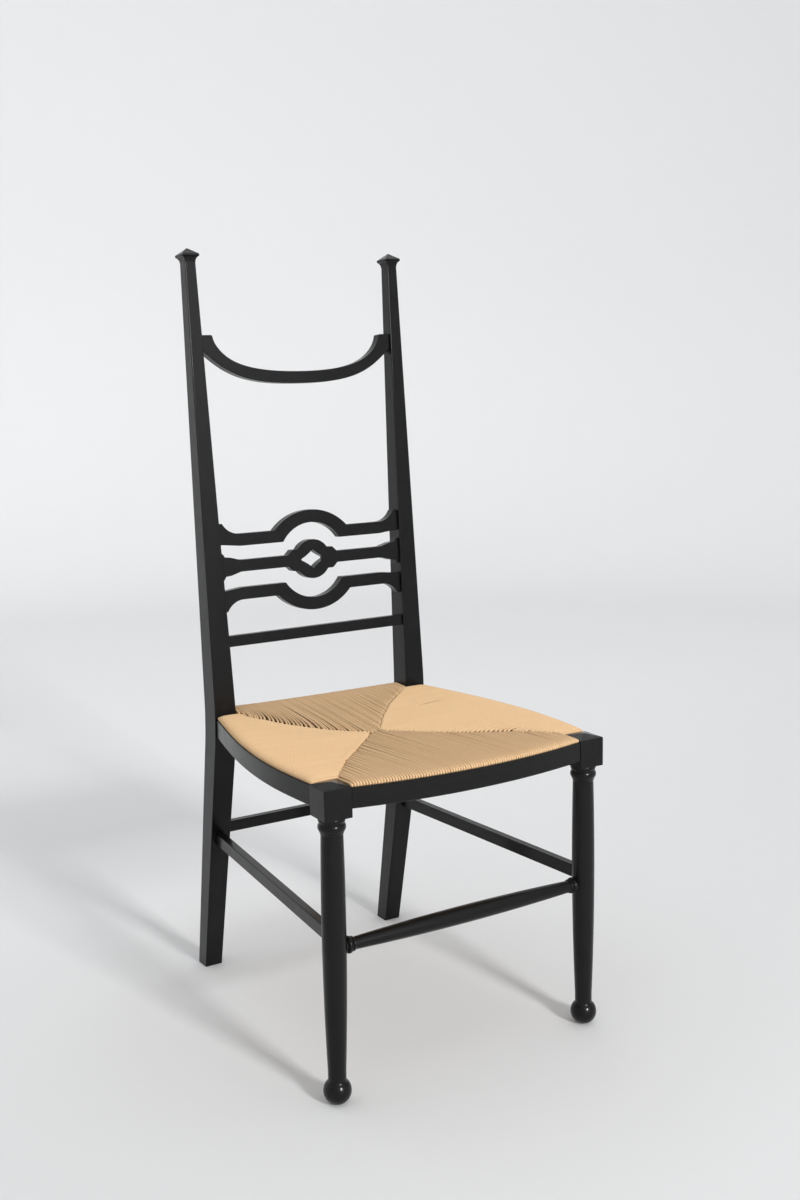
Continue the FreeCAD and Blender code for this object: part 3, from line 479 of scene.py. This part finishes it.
def painted_wood(name, axis, settings):
    """Satin black paint over wood whose grain and brush marks run along one axis."""
    material, bench = new_finish(name)
    place = bench.place()
    grain = bench.noise(grain_place(bench, axis, PAINT_GRAIN), 1.0, 5.0, 0.62)
    brush = bench.noise(grain_place(bench, axis, BRUSH_MARKS), 1.0, 3.0)
    cloud = bench.noise(place, PAINT_CLOUDS, 4.0)
    peel = bench.noise(place, PAINT_PEEL, 2.0)
    dust = bench.ramp(bench.noise(place, DUST_SPECKS, 1.0), (0.70, 0.0), (0.78, 1.0))
    worn = bench.ramp(cloud, (0.60, 0.0), (0.85, 1.0))
    dusty = bench.mixed(dust * 0.12, opaque(settings.paint_colour), opaque(DUST))
    close_finish(bench, {
        "Base Color": bench.mixed(worn * 0.25, dusty, opaque(WORN_PAINT)),
        "Roughness": settings.paint_roughness + cloud * 0.14 + brush * 0.05 + dust * 0.2,
        "Normal": bench.relief(0.22, PAINT_RELIEF, grain * 0.35 + brush * 0.9 + peel * 0.25),
        "Specular IOR Level": 0.11, "Coat Weight": 0.5, "Coat Roughness": 0.1, "Coat IOR": 1.3})
    return material


def bare_wood(name, axis, settings):
    """Sawn beech of the rails inside the seat."""
    material, bench = new_finish(name)
    grain = bench.noise(grain_place(bench, axis, SAWN_GRAIN), 1.0, 6.0, 0.7)
    bare = settings.bare_colour
    close_finish(bench, {
        "Base Color": bench.mixed(grain, darker(bare, 0.55), opaque(bare)),
        "Roughness": 0.68 + grain * 0.12,
        "Normal": bench.relief(0.4, WOOD_RELIEF, grain)})
    return material


def kraft_card(settings):
    """Brown card, creased and fibrous."""
    material, bench = new_finish("kraft_card")
    place = bench.place()
    fibre = bench.noise(place, CARD_FIBRES, 5.0)
    crease = bench.noise(place, CARD_CREASES, 3.0)
    card = settings.card_colour
    close_finish(bench, {
        "Base Color": bench.mixed(fibre, darker(card, 0.6), opaque(card)),
        "Roughness": 0.85 + fibre * 0.1,
        "Normal": bench.relief(0.5, CARD_RELIEF, fibre * 0.3 + crease)})
    return material


def dark_steel():
    """Blackened steel of the pins that hold the bands."""
    material, bench = new_finish("blackened_steel")
    spots = bench.noise(bench.place(), STEEL_SPOTS, 3.0)
    close_finish(bench, {
        "Base Color": bench.mixed(spots, opaque(DARK_STEEL), opaque(BRIGHT_STEEL)),
        "Metallic": 0.8, "Roughness": 0.35 + spots * 0.2,
        "Normal": bench.relief(0.3, STEEL_RELIEF, spots)})
    return material


def cord_strand(bench, tint, settings):
    """How near a point of the cord is to the crown of a strand, by the cord's own coordinates."""
    along = bench.add("ShaderNodeAttribute", {"attribute_name": "cord_along"}, output="Fac")
    around = bench.add("ShaderNodeAttribute", {"attribute_name": "cord_around"}, output="Vector")
    angle = bench.part(around, "Y").arctan2(bench.part(around, "X"))
    turned = along * (2 * math.pi / settings.twist) + tint * TINT_TURN
    wave = ((angle + turned) * CORD_STRANDS).sine()
    return wave * 0.5 + 0.5


def paper_cord(settings):
    """Twisted paper cord, each length with its own tint, with painted shade in the grooves between its
    strands.
    """
    material, bench = new_finish("paper_cord")
    place = bench.place()
    tint = bench.add("ShaderNodeAttribute", {"attribute_name": "cord_tint"}, output="Fac")
    strand = cord_strand(bench, tint, settings)
    # Painted shade: the colour turns towards the darkest cord colour between the strands, where the
    # twist's grooves lie
    groove_shade = 1 - bench.ramp(strand, (0.0, 0.0), (0.35, 1.0))
    fibre = bench.noise(place, CORD_FIBRES, 3.0)
    cloud = bench.noise(place, CORD_CLOUDS, 3.0)
    fibre_and_groove_shade = opaque(settings.fibre_and_groove_shade_colour)
    groove_shaded = bench.mixed(groove_shade * 0.25, opaque(settings.colour), fibre_and_groove_shade)
    aged = bench.mixed(tint * 0.35, groove_shaded, opaque(AGED_CORD))
    mottled = bench.mixed(cloud * 0.25, aged, opaque(PALE_CORD))
    close_finish(bench, {
        "Base Color": bench.mixed(fibre * 0.2, mottled, fibre_and_groove_shade),
        "Roughness": 0.62 + fibre * 0.2,
        "Normal": bench.relief(0.4, CORD_RELIEF, strand + fibre * 0.5),
        "Specular IOR Level": 0.35})
    return material


# The wound seat

class SeatProbe:
    """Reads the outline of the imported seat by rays, level with its straight sides."""

    def __init__(self):
        mesh = nodes["rush_seat"].data
        points = [vertex.co for vertex in mesh.vertices]
        faces = [tuple(polygon.vertices) for polygon in mesh.polygons]
        self.tree = BVHTree.FromPolygons(points, faces)
        self.level = seat_high.z - PROBE_DEPTH

    def side(self, y, sign):
        """X of the seat's outer face at a depth, on the left for -1 or the right for 1."""
        return self.tree.ray_cast(Vector((sign, y, self.level)), Vector((-sign, 0, 0)))[0].x

    def end(self, x, sign):
        """Y of the seat's outer face at a place across, in front for -1 or at the back for 1."""
        return self.tree.ray_cast(Vector((x, sign, self.level)), Vector((0, -sign, 0)))[0].y


def seams():
    """The four diagonals as lists of plan points from corner to ridge."""
    front_corner = block_inner - SEAM_INSET
    back_corner = post_inner - SEAM_INSET
    return {
        "front_left": [(-front_corner, block_back), *FRONT_LEFT_BENDS, RIDGE_LEFT],
        "front_right": [(front_corner, block_back), *FRONT_RIGHT_BENDS, RIDGE_RIGHT],
        "back_left": [(-back_corner, post_front), *BACK_LEFT_BENDS, RIDGE_LEFT],
        "back_right": [(back_corner, post_front), *BACK_RIGHT_BENDS, RIDGE_RIGHT]}


def crossing(line, value, axis):
    """Where a seam crosses x = value (axis 0) or y = value (axis 1): the other coordinate and the
    share of the seam's length passed since its corner."""
    total = sum(math.dist(a, b) for a, b in zip(line, line[1:]))
    passed = 0.0
    for a, b in zip(line, line[1:]):
        length = math.dist(a, b)
        low, high = sorted((a[axis], b[axis]))
        if low <= value <= high and high > low:
            part = (value - a[axis]) / (b[axis] - a[axis])
            return a[1 - axis] + part * (b[1 - axis] - a[1 - axis]), (passed + part * length) / total
        passed += length
    end = min((line[0], line[-1]), key=lambda point: abs(point[axis] - value))
    return end[1 - axis], 0.0 if end is line[0] else 1.0


def eased(share):
    """A share that starts and ends gently."""
    return share * share * (3 - 2 * share)


def clamped(share):
    """A share kept between nothing and the whole."""
    return min(1.0, max(0.0, share))


def corner_share(share, least):
    """Grows from a least share at a corner of the seat to one, over the first part of a seam."""
    return least + (1 - least) * clamped(share / CORNER_PART)


def turn(inward, height, radius, start, end, steps, rise=1.0):
    """Points of an arc in a cord's own upright plane, between two angles in degrees; rise flattens it."""
    angles = [math.radians(start + (end - start) * step / steps) for step in range(steps + 1)]
    return [(inward + radius * math.cos(a), height + rise * radius * math.sin(a)) for a in angles]


class CordPanel:
    """One of the seat's four panels: its cords run in from a rail to the seams."""

    def __init__(self, name, settings, probe, chance):
        self.name = name
        self.settings = settings
        self.probe = probe
        self.chance = chance
        self.across = name in ("left", "right")
        self.inward = 1 if name in ("front", "left") else -1
        lines = seams()
        if self.across:
            self.seams = (lines["front_" + name], lines["back_" + name])
            self.first, self.last = block_back + CORD_GAP, post_front - CORD_GAP
        else:
            self.seams = (lines[name + "_left"], lines[name + "_right"])
            self.last = (block_inner if name == "front" else post_inner) - CORD_GAP
            self.first = -self.last
        self.count = round((self.last - self.first) / settings.pitch)
        self.step = (self.last - self.first) / self.count
        self.radius = self.step / 2

    def place_of(self, index):
        """Where a cord lies along its rail."""
        return self.first + (index + 0.5) * self.step

    def outer(self, place):
        """Where a cord's run starts, on the outer face of the seat."""
        find = self.probe.side if self.across else self.probe.end
        return find(place, -self.inward)

    def seam(self, place):
        """Where a cord's run ends, the share of the seam's length up to it, and if it's on the ridge."""
        fixed = 1 if self.across else 0
        low, high = [line[-1] for line in self.seams]
        if low[fixed] <= place <= high[fixed]:
            share = (place - low[fixed]) / max(high[fixed] - low[fixed], LEAST_LENGTH)
            return low[1 - fixed] + share * (high[1 - fixed] - low[1 - fixed]), 1.0, True
        return *crossing(self.seams[place > low[fixed]], place, fixed), False

    def pull(self, place):
        """How far a cord moves towards its neighbours at the seam for each place in its bunch."""
        if self.across:
            return self.settings.bunching * ACROSS_BUNCH_SHARE
        return self.settings.bunching * (1.0 if place < 0 else RIGHT_BUNCH_SHARE)

    def lean(self, place):
        """How far a cord has moved sideways where it meets its seam, and over which length."""
        _, share, ridge = self.seam(place)
        if self.name == "back" and place < 0 and not ridge:
            aside = BACK_LEAN * math.sin(math.pi * share ** BACK_LEAN_EARLY)
            return -min(aside, LEAN_ROOM_SHARE * (place - self.first)), BACK_LEAN_LENGTH
        if self.name == "right" and place < 0 and share < RIGHT_LEAN_PART:
            aside = RIGHT_LEAN * math.sin(math.pi * share / RIGHT_LEAN_PART) ** 2
            return -aside, RIGHT_LEAN_LENGTH
        return 0.0, DIVE_LENGTH

    def tuck(self, index):
        """How deep a cord's roll lies below the seat's top."""
        if self.name == "back":
            return -POST_RISE * math.exp((self.first - self.place_of(index)) / POST_RISE_LENGTH)
        return TUCK_DEPTH * TUCK_FADE_SHARE ** min(index, self.count - 1 - index)

    def slit_push(self, place, out):
        """How far a cord lies aside of its place beside one of the slits in the right panel."""
        push = 0.0
        for start, end, middle, width in SLITS:
            if self.name == "right" and start < out < end:
                away = (place - middle) / self.step
                opened = width * math.sin(math.pi * (out - start) / (end - start))
                push += math.copysign(0.5 * opened * math.exp(-abs(away) / SLIT_CORDS), away)
        return push


def bunches(count, chance):
    """Place of each cord in its bunch, counted from the bunch's middle."""
    places = []
    while len(places) < count:
        size = chance.choice(BUNCH_SIZES)
        places += [(size - 1) / 2 - index for index in range(size)]
    return places[:count]


def cord_rise(panel, top):
    """A cord's way up round its rail, over the band where there is one: its points and where it ends."""
    radius = panel.radius
    if panel.name == "back":
        roll = panel.settings.roll_radius - radius
        return turn(roll + radius, top - roll, roll, 180, 90, ROLL_STEPS), roll + radius
    crest = BAND_ROLL + radius - BAND_LAP
    on_band = band_top + radius
    edge = [(radius - lap * BAND_LAP, band_top + rise * radius) for lap, rise in BAND_EDGE_SHARES]
    return edge + turn(crest, on_band, BAND_ROLL, 180, 90, ROLL_STEPS, (top - on_band) / BAND_ROLL), crest


def cord_end(panel, share, ridge):
    """A cord's end by its seam, over the cords that cross it or below them, from its height there."""
    radius = panel.radius
    if panel.across or ridge:
        return [(inward * radius, height * radius) for inward, height in DROP_SHARES]
    length = DIVE_LENGTH * corner_share(share, CORNER_DIVE_SHARE)
    depth = DIVE_DEPTH_SHARE * radius * corner_share(share, CORNER_DIVE_SHARE)
    dive = [(inward * length, -down * depth) for inward, down in DIVE_SHARES]
    return dive + [(reach * radius, -depth) for reach in DIVE_REACH_SHARES]


def cord_profile(panel, run, share, ridge, tuck):
    """One turn of cord seen from the side: distance in from the outer face and height."""
    radius = panel.radius
    under = panel.settings.under_radius - radius
    top = seat_high.z - radius - tuck
    bottom = seat_low.z + radius
    drop = panel.settings.dish * eased(share)
    rise, crest = cord_rise(panel, top)
    points = [(run - radius, bottom)]
    points += turn(under + radius, bottom + under, under, 270, 180, UNDER_STEPS) + rise
    for step in range(1, RUN_STEPS + 1):
        part = step / RUN_STEPS
        points.append((crest + (run - DIVE_LENGTH - crest) * part, top - drop * part ** RUN_SAG))
    end = cord_end(panel, share, ridge)
    return points + [(run + inward, top - drop + height) for inward, height in end]


def cord_line(panel, index, bunch_place):
    """One turn of cord, from its seam under the seat, up round the rail and back to the seam on top: its
    points, and the share of its thickness that it keeps at each."""
    chance = panel.chance
    most_sway, most_sink = (ACROSS_SWAY, ACROSS_SINK) if panel.across else (DEEP_SWAY, DEEP_SINK)
    place = panel.place_of(index)
    outer = panel.outer(place)
    lean, lean_length = panel.lean(place)
    seam, share, ridge = panel.seam(place + lean)
    ragged = (RAGGED_SEAM if share > CORNER_PART else RAGGED_CORNER) * chance.uniform(-1, 1)
    run = abs(seam - outer) + ragged * min(1.0, share / CORNER_PART + CORNER_RAGGED_SHARE)
    sink = most_sink * chance.random() ** SINK_RARITY
    sway = chance.uniform(-most_sway, most_sway)
    sway_place = chance.uniform(SWAY_FROM_SHARE, SWAY_TO_SHARE)
    roll = panel.settings.roll_radius
    line, kept = [], []
    for inward, height in cord_profile(panel, run, share, ridge, panel.tuck(index)):
        out = outer + panel.inward * inward
        aside = place
        leant = 0.0
        if height > seat_middle:
            way = clamped((inward - roll) / max(run - roll, LEAST_LENGTH))
            leant = max(0.0, 1 - (run - inward) / lean_length) ** 2
            height -= sink * way
            aside += lean * leant + panel.slit_push(place, out)
            aside += bunch_place * panel.pull(place) * way ** BUNCH_LATE
            aside += sway * max(0.0, 1 - abs(way - sway_place) / SWAY_FADE_SHARE)
        line.append((out, aside, height) if panel.across else (aside, out, height))
        kept.append(1 - SQUEEZE_SHARE * min(1.0, leant) if lean else 1.0)
    return line, kept


def cord_mesh(panel):
    """Chains of edges for one panel's cords, with each point's thickness and tint."""
    points, edges, thickness, tints = [], [], [], []
    thinnest = ACROSS_THIN_SHARE if panel.across else DEEP_THIN_SHARE
    for index, bunch_place in enumerate(bunches(panel.count, panel.chance)):
        line, kept = cord_line(panel, index, bunch_place)
        start = len(points)
        points += line
        edges += [(start + step, start + step + 1) for step in range(len(line) - 1)]
        wide = panel.radius * panel.chance.uniform(thinnest, 1.0)
        thickness += [wide * share for share in kept]
        tints += [panel.chance.random()] * len(line)
    mesh = bpy.data.meshes.new("cord_lines_" + panel.name)
    mesh.from_pydata(points, edges, [])
    for name, values in (("cord_radius", thickness), ("cord_tint", tints)):
        mesh.attributes.new(name, "FLOAT", "POINT").data.foreach_set("value", values)
    return mesh


def cord_ring(bench):
    """The round profile of a cord, which keeps each point's direction from the middle."""
    ring = bench.add("GeometryNodeCurvePrimitiveCircle", sockets={
        "Resolution": bench.add("NodeGroupInput", output="Cord Sides"), "Radius": 1.0})
    angle = bench.add("GeometryNodeSplineParameter", output="Factor") * (2 * math.pi)
    direction = bench.add("ShaderNodeCombineXYZ", sockets={"X": angle.cosine(), "Y": angle.sine()})
    return bench.add("GeometryNodeStoreNamedAttribute", {"data_type": "FLOAT_VECTOR", "domain": "POINT"}, {
        "Geometry": ring, "Name": "cord_around", "Value": direction})


def cord_tree():
    """Geometry nodes that turn chains of edges into cord with its own coordinates."""
    tree = bpy.data.node_groups.new("wind_cord", "GeometryNodeTree")
    tree.interface.new_socket("Geometry", in_out="OUTPUT", socket_type="NodeSocketGeometry")
    for name, kind in (("Geometry", "Geometry"), ("Cord Sides", "Int"), ("Cord Material", "Material")):
        tree.interface.new_socket(name, in_out="INPUT", socket_type="NodeSocket" + kind)
    bench = NodeBench(tree)
    curve = bench.add("GeometryNodeMeshToCurve", sockets={
        "Mesh": bench.add("NodeGroupInput", output="Geometry")})
    length = bench.add("GeometryNodeSplineParameter", output="Length")
    measured = bench.add("GeometryNodeStoreNamedAttribute", {"data_type": "FLOAT", "domain": "POINT"}, {
        "Geometry": curve, "Name": "cord_along", "Value": length})
    radius = bench.add("GeometryNodeInputNamedAttribute", {"data_type": "FLOAT"}, {"Name": "cord_radius"})
    tube = bench.add("GeometryNodeCurveToMesh", sockets={
        "Curve": measured, "Profile Curve": cord_ring(bench), "Scale": radius, "Fill Caps": True})
    smooth = bench.add("GeometryNodeSetShadeSmooth", sockets={"Geometry": tube})
    whole = bench.add("GeometryNodeRealizeInstances", sockets={"Geometry": smooth})
    finished = bench.add("GeometryNodeSetMaterial", sockets={
        "Geometry": whole, "Material": bench.add("NodeGroupInput", output="Cord Material")})
    bench.add("NodeGroupOutput", sockets={"Geometry": finished})
    return tree


def socket_id(tree, name):
    """Identifier of a tree's named input."""
    return next(item.identifier for item in tree.interface.items_tree
                if item.name == name and item.in_out == "INPUT")


def made_plain(source, tree, values, name):
    """Runs a tree on a mesh and returns an object that holds its result as a plain mesh."""
    carrier = bpy.data.objects.new(name + "_lines", source)
    bpy.context.scene.collection.objects.link(carrier)
    modifier = carrier.modifiers.new("nodes", "NODES")
    modifier.node_group = tree
    for key, value in values.items():
        modifier[socket_id(tree, key)] = value
    graph = bpy.context.evaluated_depsgraph_get()
    result = bpy.data.meshes.new_from_object(
        carrier.evaluated_get(graph), preserve_all_data_layers=True, depsgraph=graph)
    result.name = name
    bpy.data.objects.remove(carrier)
    bpy.data.meshes.remove(source)
    piece = bpy.data.objects.new(name, result)
    bpy.context.scene.collection.objects.link(piece)
    return piece


# The stage

def camera_matrix():
    """World matrix of the camera from its turn about the vertical, its dip and its roll."""
    ahead = Vector((
        -math.sin(CAMERA_TURN) * math.cos(CAMERA_DIP), math.cos(CAMERA_TURN) * math.cos(CAMERA_DIP),
        -math.sin(CAMERA_DIP)))
    level_right = ahead.cross(Vector((0, 0, 1))).normalized()
    level_up = level_right.cross(ahead)
    right = level_right * math.cos(CAMERA_ROLL) + level_up * math.sin(CAMERA_ROLL)
    up = level_up * math.cos(CAMERA_ROLL) - level_right * math.sin(CAMERA_ROLL)
    matrix = Matrix((right, up, -ahead)).transposed().to_4x4()
    matrix.translation = Vector(CAMERA_PLACE)
    return matrix


def add_camera():
    """The photograph's camera, set as the scene's."""
    data = bpy.data.cameras.new("camera")
    data.lens = CAMERA_LENS
    data.sensor_width = SENSOR_LONG_SIDE
    camera = bpy.data.objects.new("camera", data)
    camera.matrix_world = camera_matrix()
    bpy.context.scene.collection.objects.link(camera)
    bpy.context.scene.camera = camera


def cove_profile():
    """Radius and height of the cove, from its middle out to the top of its wall."""
    bend = [math.radians(90 * step / BEND_STEPS) for step in range(1, BEND_STEPS + 1)]
    return [
        (0.0, 0.0), (FLOOR_RADIUS, 0.0),
        *((FLOOR_RADIUS + COVE_BEND * math.sin(a), COVE_BEND * (1 - math.cos(a))) for a in bend),
        (FLOOR_RADIUS + COVE_BEND, WALL_HEIGHT)]


def cove_ring(mesh, radius, height):
    """Points of one ring of the cove, or its middle alone."""
    angles = [2 * math.pi * side / COVE_SIDES for side in range(COVE_SIDES if radius else 1)]
    return [mesh.verts.new((radius * math.cos(a), radius * math.sin(a), height)) for a in angles]


def add_cove(material):
    """A round floor that sweeps up into a wall on every side."""
    mesh = bmesh.new()
    rings = [cove_ring(mesh, radius, height) for radius, height in cove_profile()]
    for inner, outer in zip(rings, rings[1:]):
        for side in range(COVE_SIDES):
            following = (side + 1) % COVE_SIDES
            near = [inner[0]] if len(inner) == 1 else [inner[following], inner[side]]
            mesh.faces.new((*near, outer[side], outer[following]))
    data = bpy.data.meshes.new("cove")
    mesh.to_mesh(data)
    mesh.free()
    data.polygons.foreach_set("use_smooth", [True] * len(data.polygons))
    data.materials.append(material)
    cove = bpy.data.objects.new("cove", data)
    bpy.context.scene.collection.objects.link(cove)


def cove_paint(settings):
    """Matt paint whose colour turns from the floor's into the backdrop's: painted shade in front of the
    chair and painted light behind it and up the wall.
    """
    material, bench = new_finish("cove_paint")
    place = bench.place()
    # Painted light: the colour grows paler behind the chair and up the wall, and stays darker in front
    share = bench.add("ShaderNodeMapRange", {"interpolation_type": "SMOOTHSTEP"}, {
        "Value": bench.part(place, "Y") + bench.part(place, "Z") * PAINTED_LIGHT_RISE,
        "From Min": PAINTED_LIGHT_FROM, "From Max": PAINTED_LIGHT_FULL})
    close_finish(bench, {
        "Base Color": bench.mixed(share, opaque(settings.floor_colour), opaque(settings.wall_colour)),
        "Roughness": 0.9, "Specular IOR Level": 0.2})
    return material


def add_key(power):
    """A square soft lamp that fades slowly with distance, as a far lamp does."""
    data = bpy.data.lights.new("key", "AREA")
    data.size = KEY_SIDE
    data.spread = KEY_SPREAD
    data.energy = power
    data.use_nodes = True
    data.node_tree.nodes.clear()
    bench = NodeBench(data.node_tree)
    strength = bench.add("ShaderNodeLightFalloff", sockets={"Strength": 1.0}, output="Linear")
    glow = bench.add("ShaderNodeEmission", sockets={"Strength": strength})
    bench.add("ShaderNodeOutputLight", sockets={"Surface": glow})
    lamp = bpy.data.objects.new("key", data)
    lamp.location = KEY_PLACE
    lamp.rotation_euler = (Vector(KEY_TARGET) - Vector(KEY_PLACE)).to_track_quat("-Z", "Y").to_euler()
    bpy.context.scene.collection.objects.link(lamp)


def add_sky(strength):
    """Even light from all round."""
    world = bpy.data.worlds.new("sky")
    world.use_nodes = True
    world.node_tree.nodes.clear()
    bench = NodeBench(world.node_tree)
    glow = bench.add("ShaderNodeBackground", sockets={"Color": opaque(SKY_COLOUR), "Strength": strength})
    bench.add("ShaderNodeOutputWorld", sockets={"Surface": glow})
    bpy.context.scene.world = world


# Operators

class CHAIR_OT_paint_wood(bpy.types.Operator):
    """Paint every wooden piece that shows satin black, with the grain along it"""
    bl_idname = "chair.paint_wood"
    bl_label = "Paint the wood"

    def execute(self, context):
        settings = context.scene.chair_paint
        for names, axis in ((UPRIGHT_WOOD, "z"), (CROSS_WOOD, "x"), (DEEP_WOOD, "y")):
            dress(names, painted_wood("black_paint_" + axis, axis, settings))
        return {"FINISHED"}


class CHAIR_OT_finish_hidden(bpy.types.Operator):
    """Finish the rails, the card and the pins inside and round the seat"""
    bl_idname = "chair.finish_hidden"
    bl_label = "Finish the hidden pieces"

    def execute(self, context):
        settings = context.scene.chair_paint
        for names, axis in ((HIDDEN_CROSS_WOOD, "x"), (HIDDEN_DEEP_WOOD, "y")):
            dress(names, bare_wood("bare_wood_" + axis, axis, settings))
        dress(("seat_stuffing",), kraft_card(settings))
        dress(("band_pins",), dark_steel())
        return {"FINISHED"}


class CHAIR_OT_wind_seat(bpy.types.Operator):
    """Wind the seat's four panels of cord round its rails"""
    bl_idname = "chair.wind_seat"
    bl_label = "Wind the seat"

    def execute(self, context):
        settings = context.scene.chair_cord
        chance = random.Random(settings.seed)
        probe = SeatProbe()
        tree = cord_tree()
        inputs = {"Cord Sides": settings.sides, "Cord Material": paper_cord(settings)}
        for name in ("left", "right", "front", "back"):
            lines = cord_mesh(CordPanel(name, settings, probe, chance))
            piece = made_plain(lines, tree, inputs, "cord_panel_" + name)
            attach(piece, ROOT)
            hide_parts("rush_seat")
        return {"FINISHED"}


class CHAIR_OT_set_stage(bpy.types.Operator):
    """Set the cove, the lights and the camera"""
    bl_idname = "chair.set_stage"
    bl_label = "Set the stage"

    def execute(self, context):
        settings = context.scene.chair_stage
        add_cove(cove_paint(settings))
        add_sky(settings.sky_strength)
        add_key(settings.key_power)
        add_camera()
        context.scene.view_settings.view_transform = "Standard"
        return {"FINISHED"}


# Each step's operator, with the name of the settings that it lists
STEPS = (
    (CHAIR_OT_paint_wood, "chair_paint"), (CHAIR_OT_finish_hidden, None),
    (CHAIR_OT_wind_seat, "chair_cord"), (CHAIR_OT_set_stage, "chair_stage"))
SETTINGS = {"chair_paint": PaintSettings, "chair_cord": CordSettings, "chair_stage": StageSettings}


class CHAIR_PT_panel(bpy.types.Panel):
    """Lists the chair's steps and settings"""
    bl_idname = "CHAIR_PT_panel"
    bl_label = "Tall back side chair"
    bl_space_type = "VIEW_3D"
    bl_region_type = "UI"
    bl_category = "Chair"

    def draw(self, context):
        for operator, group in STEPS:
            self.layout.operator(operator.bl_idname)
            for name in SETTINGS[group].__annotations__ if group else ():
                self.layout.prop(getattr(context.scene, group), name)


CLASSES = (*SETTINGS.values(), *(operator for operator, _ in STEPS), CHAIR_PT_panel)


def register():
    for each in CLASSES:
        bpy.utils.register_class(each)
    for name, group in SETTINGS.items():
        setattr(bpy.types.Scene, name, PointerProperty(type=group))


def unregister():
    for name in SETTINGS:
        delattr(bpy.types.Scene, name)
    for each in reversed(CLASSES):
        bpy.utils.unregister_class(each)


def main():
    register()
    bpy.ops.chair.paint_wood()
    bpy.ops.chair.finish_hidden()
    bpy.ops.chair.wind_seat()
    bpy.ops.chair.set_stage()


if __name__ == "__main__":
    main()
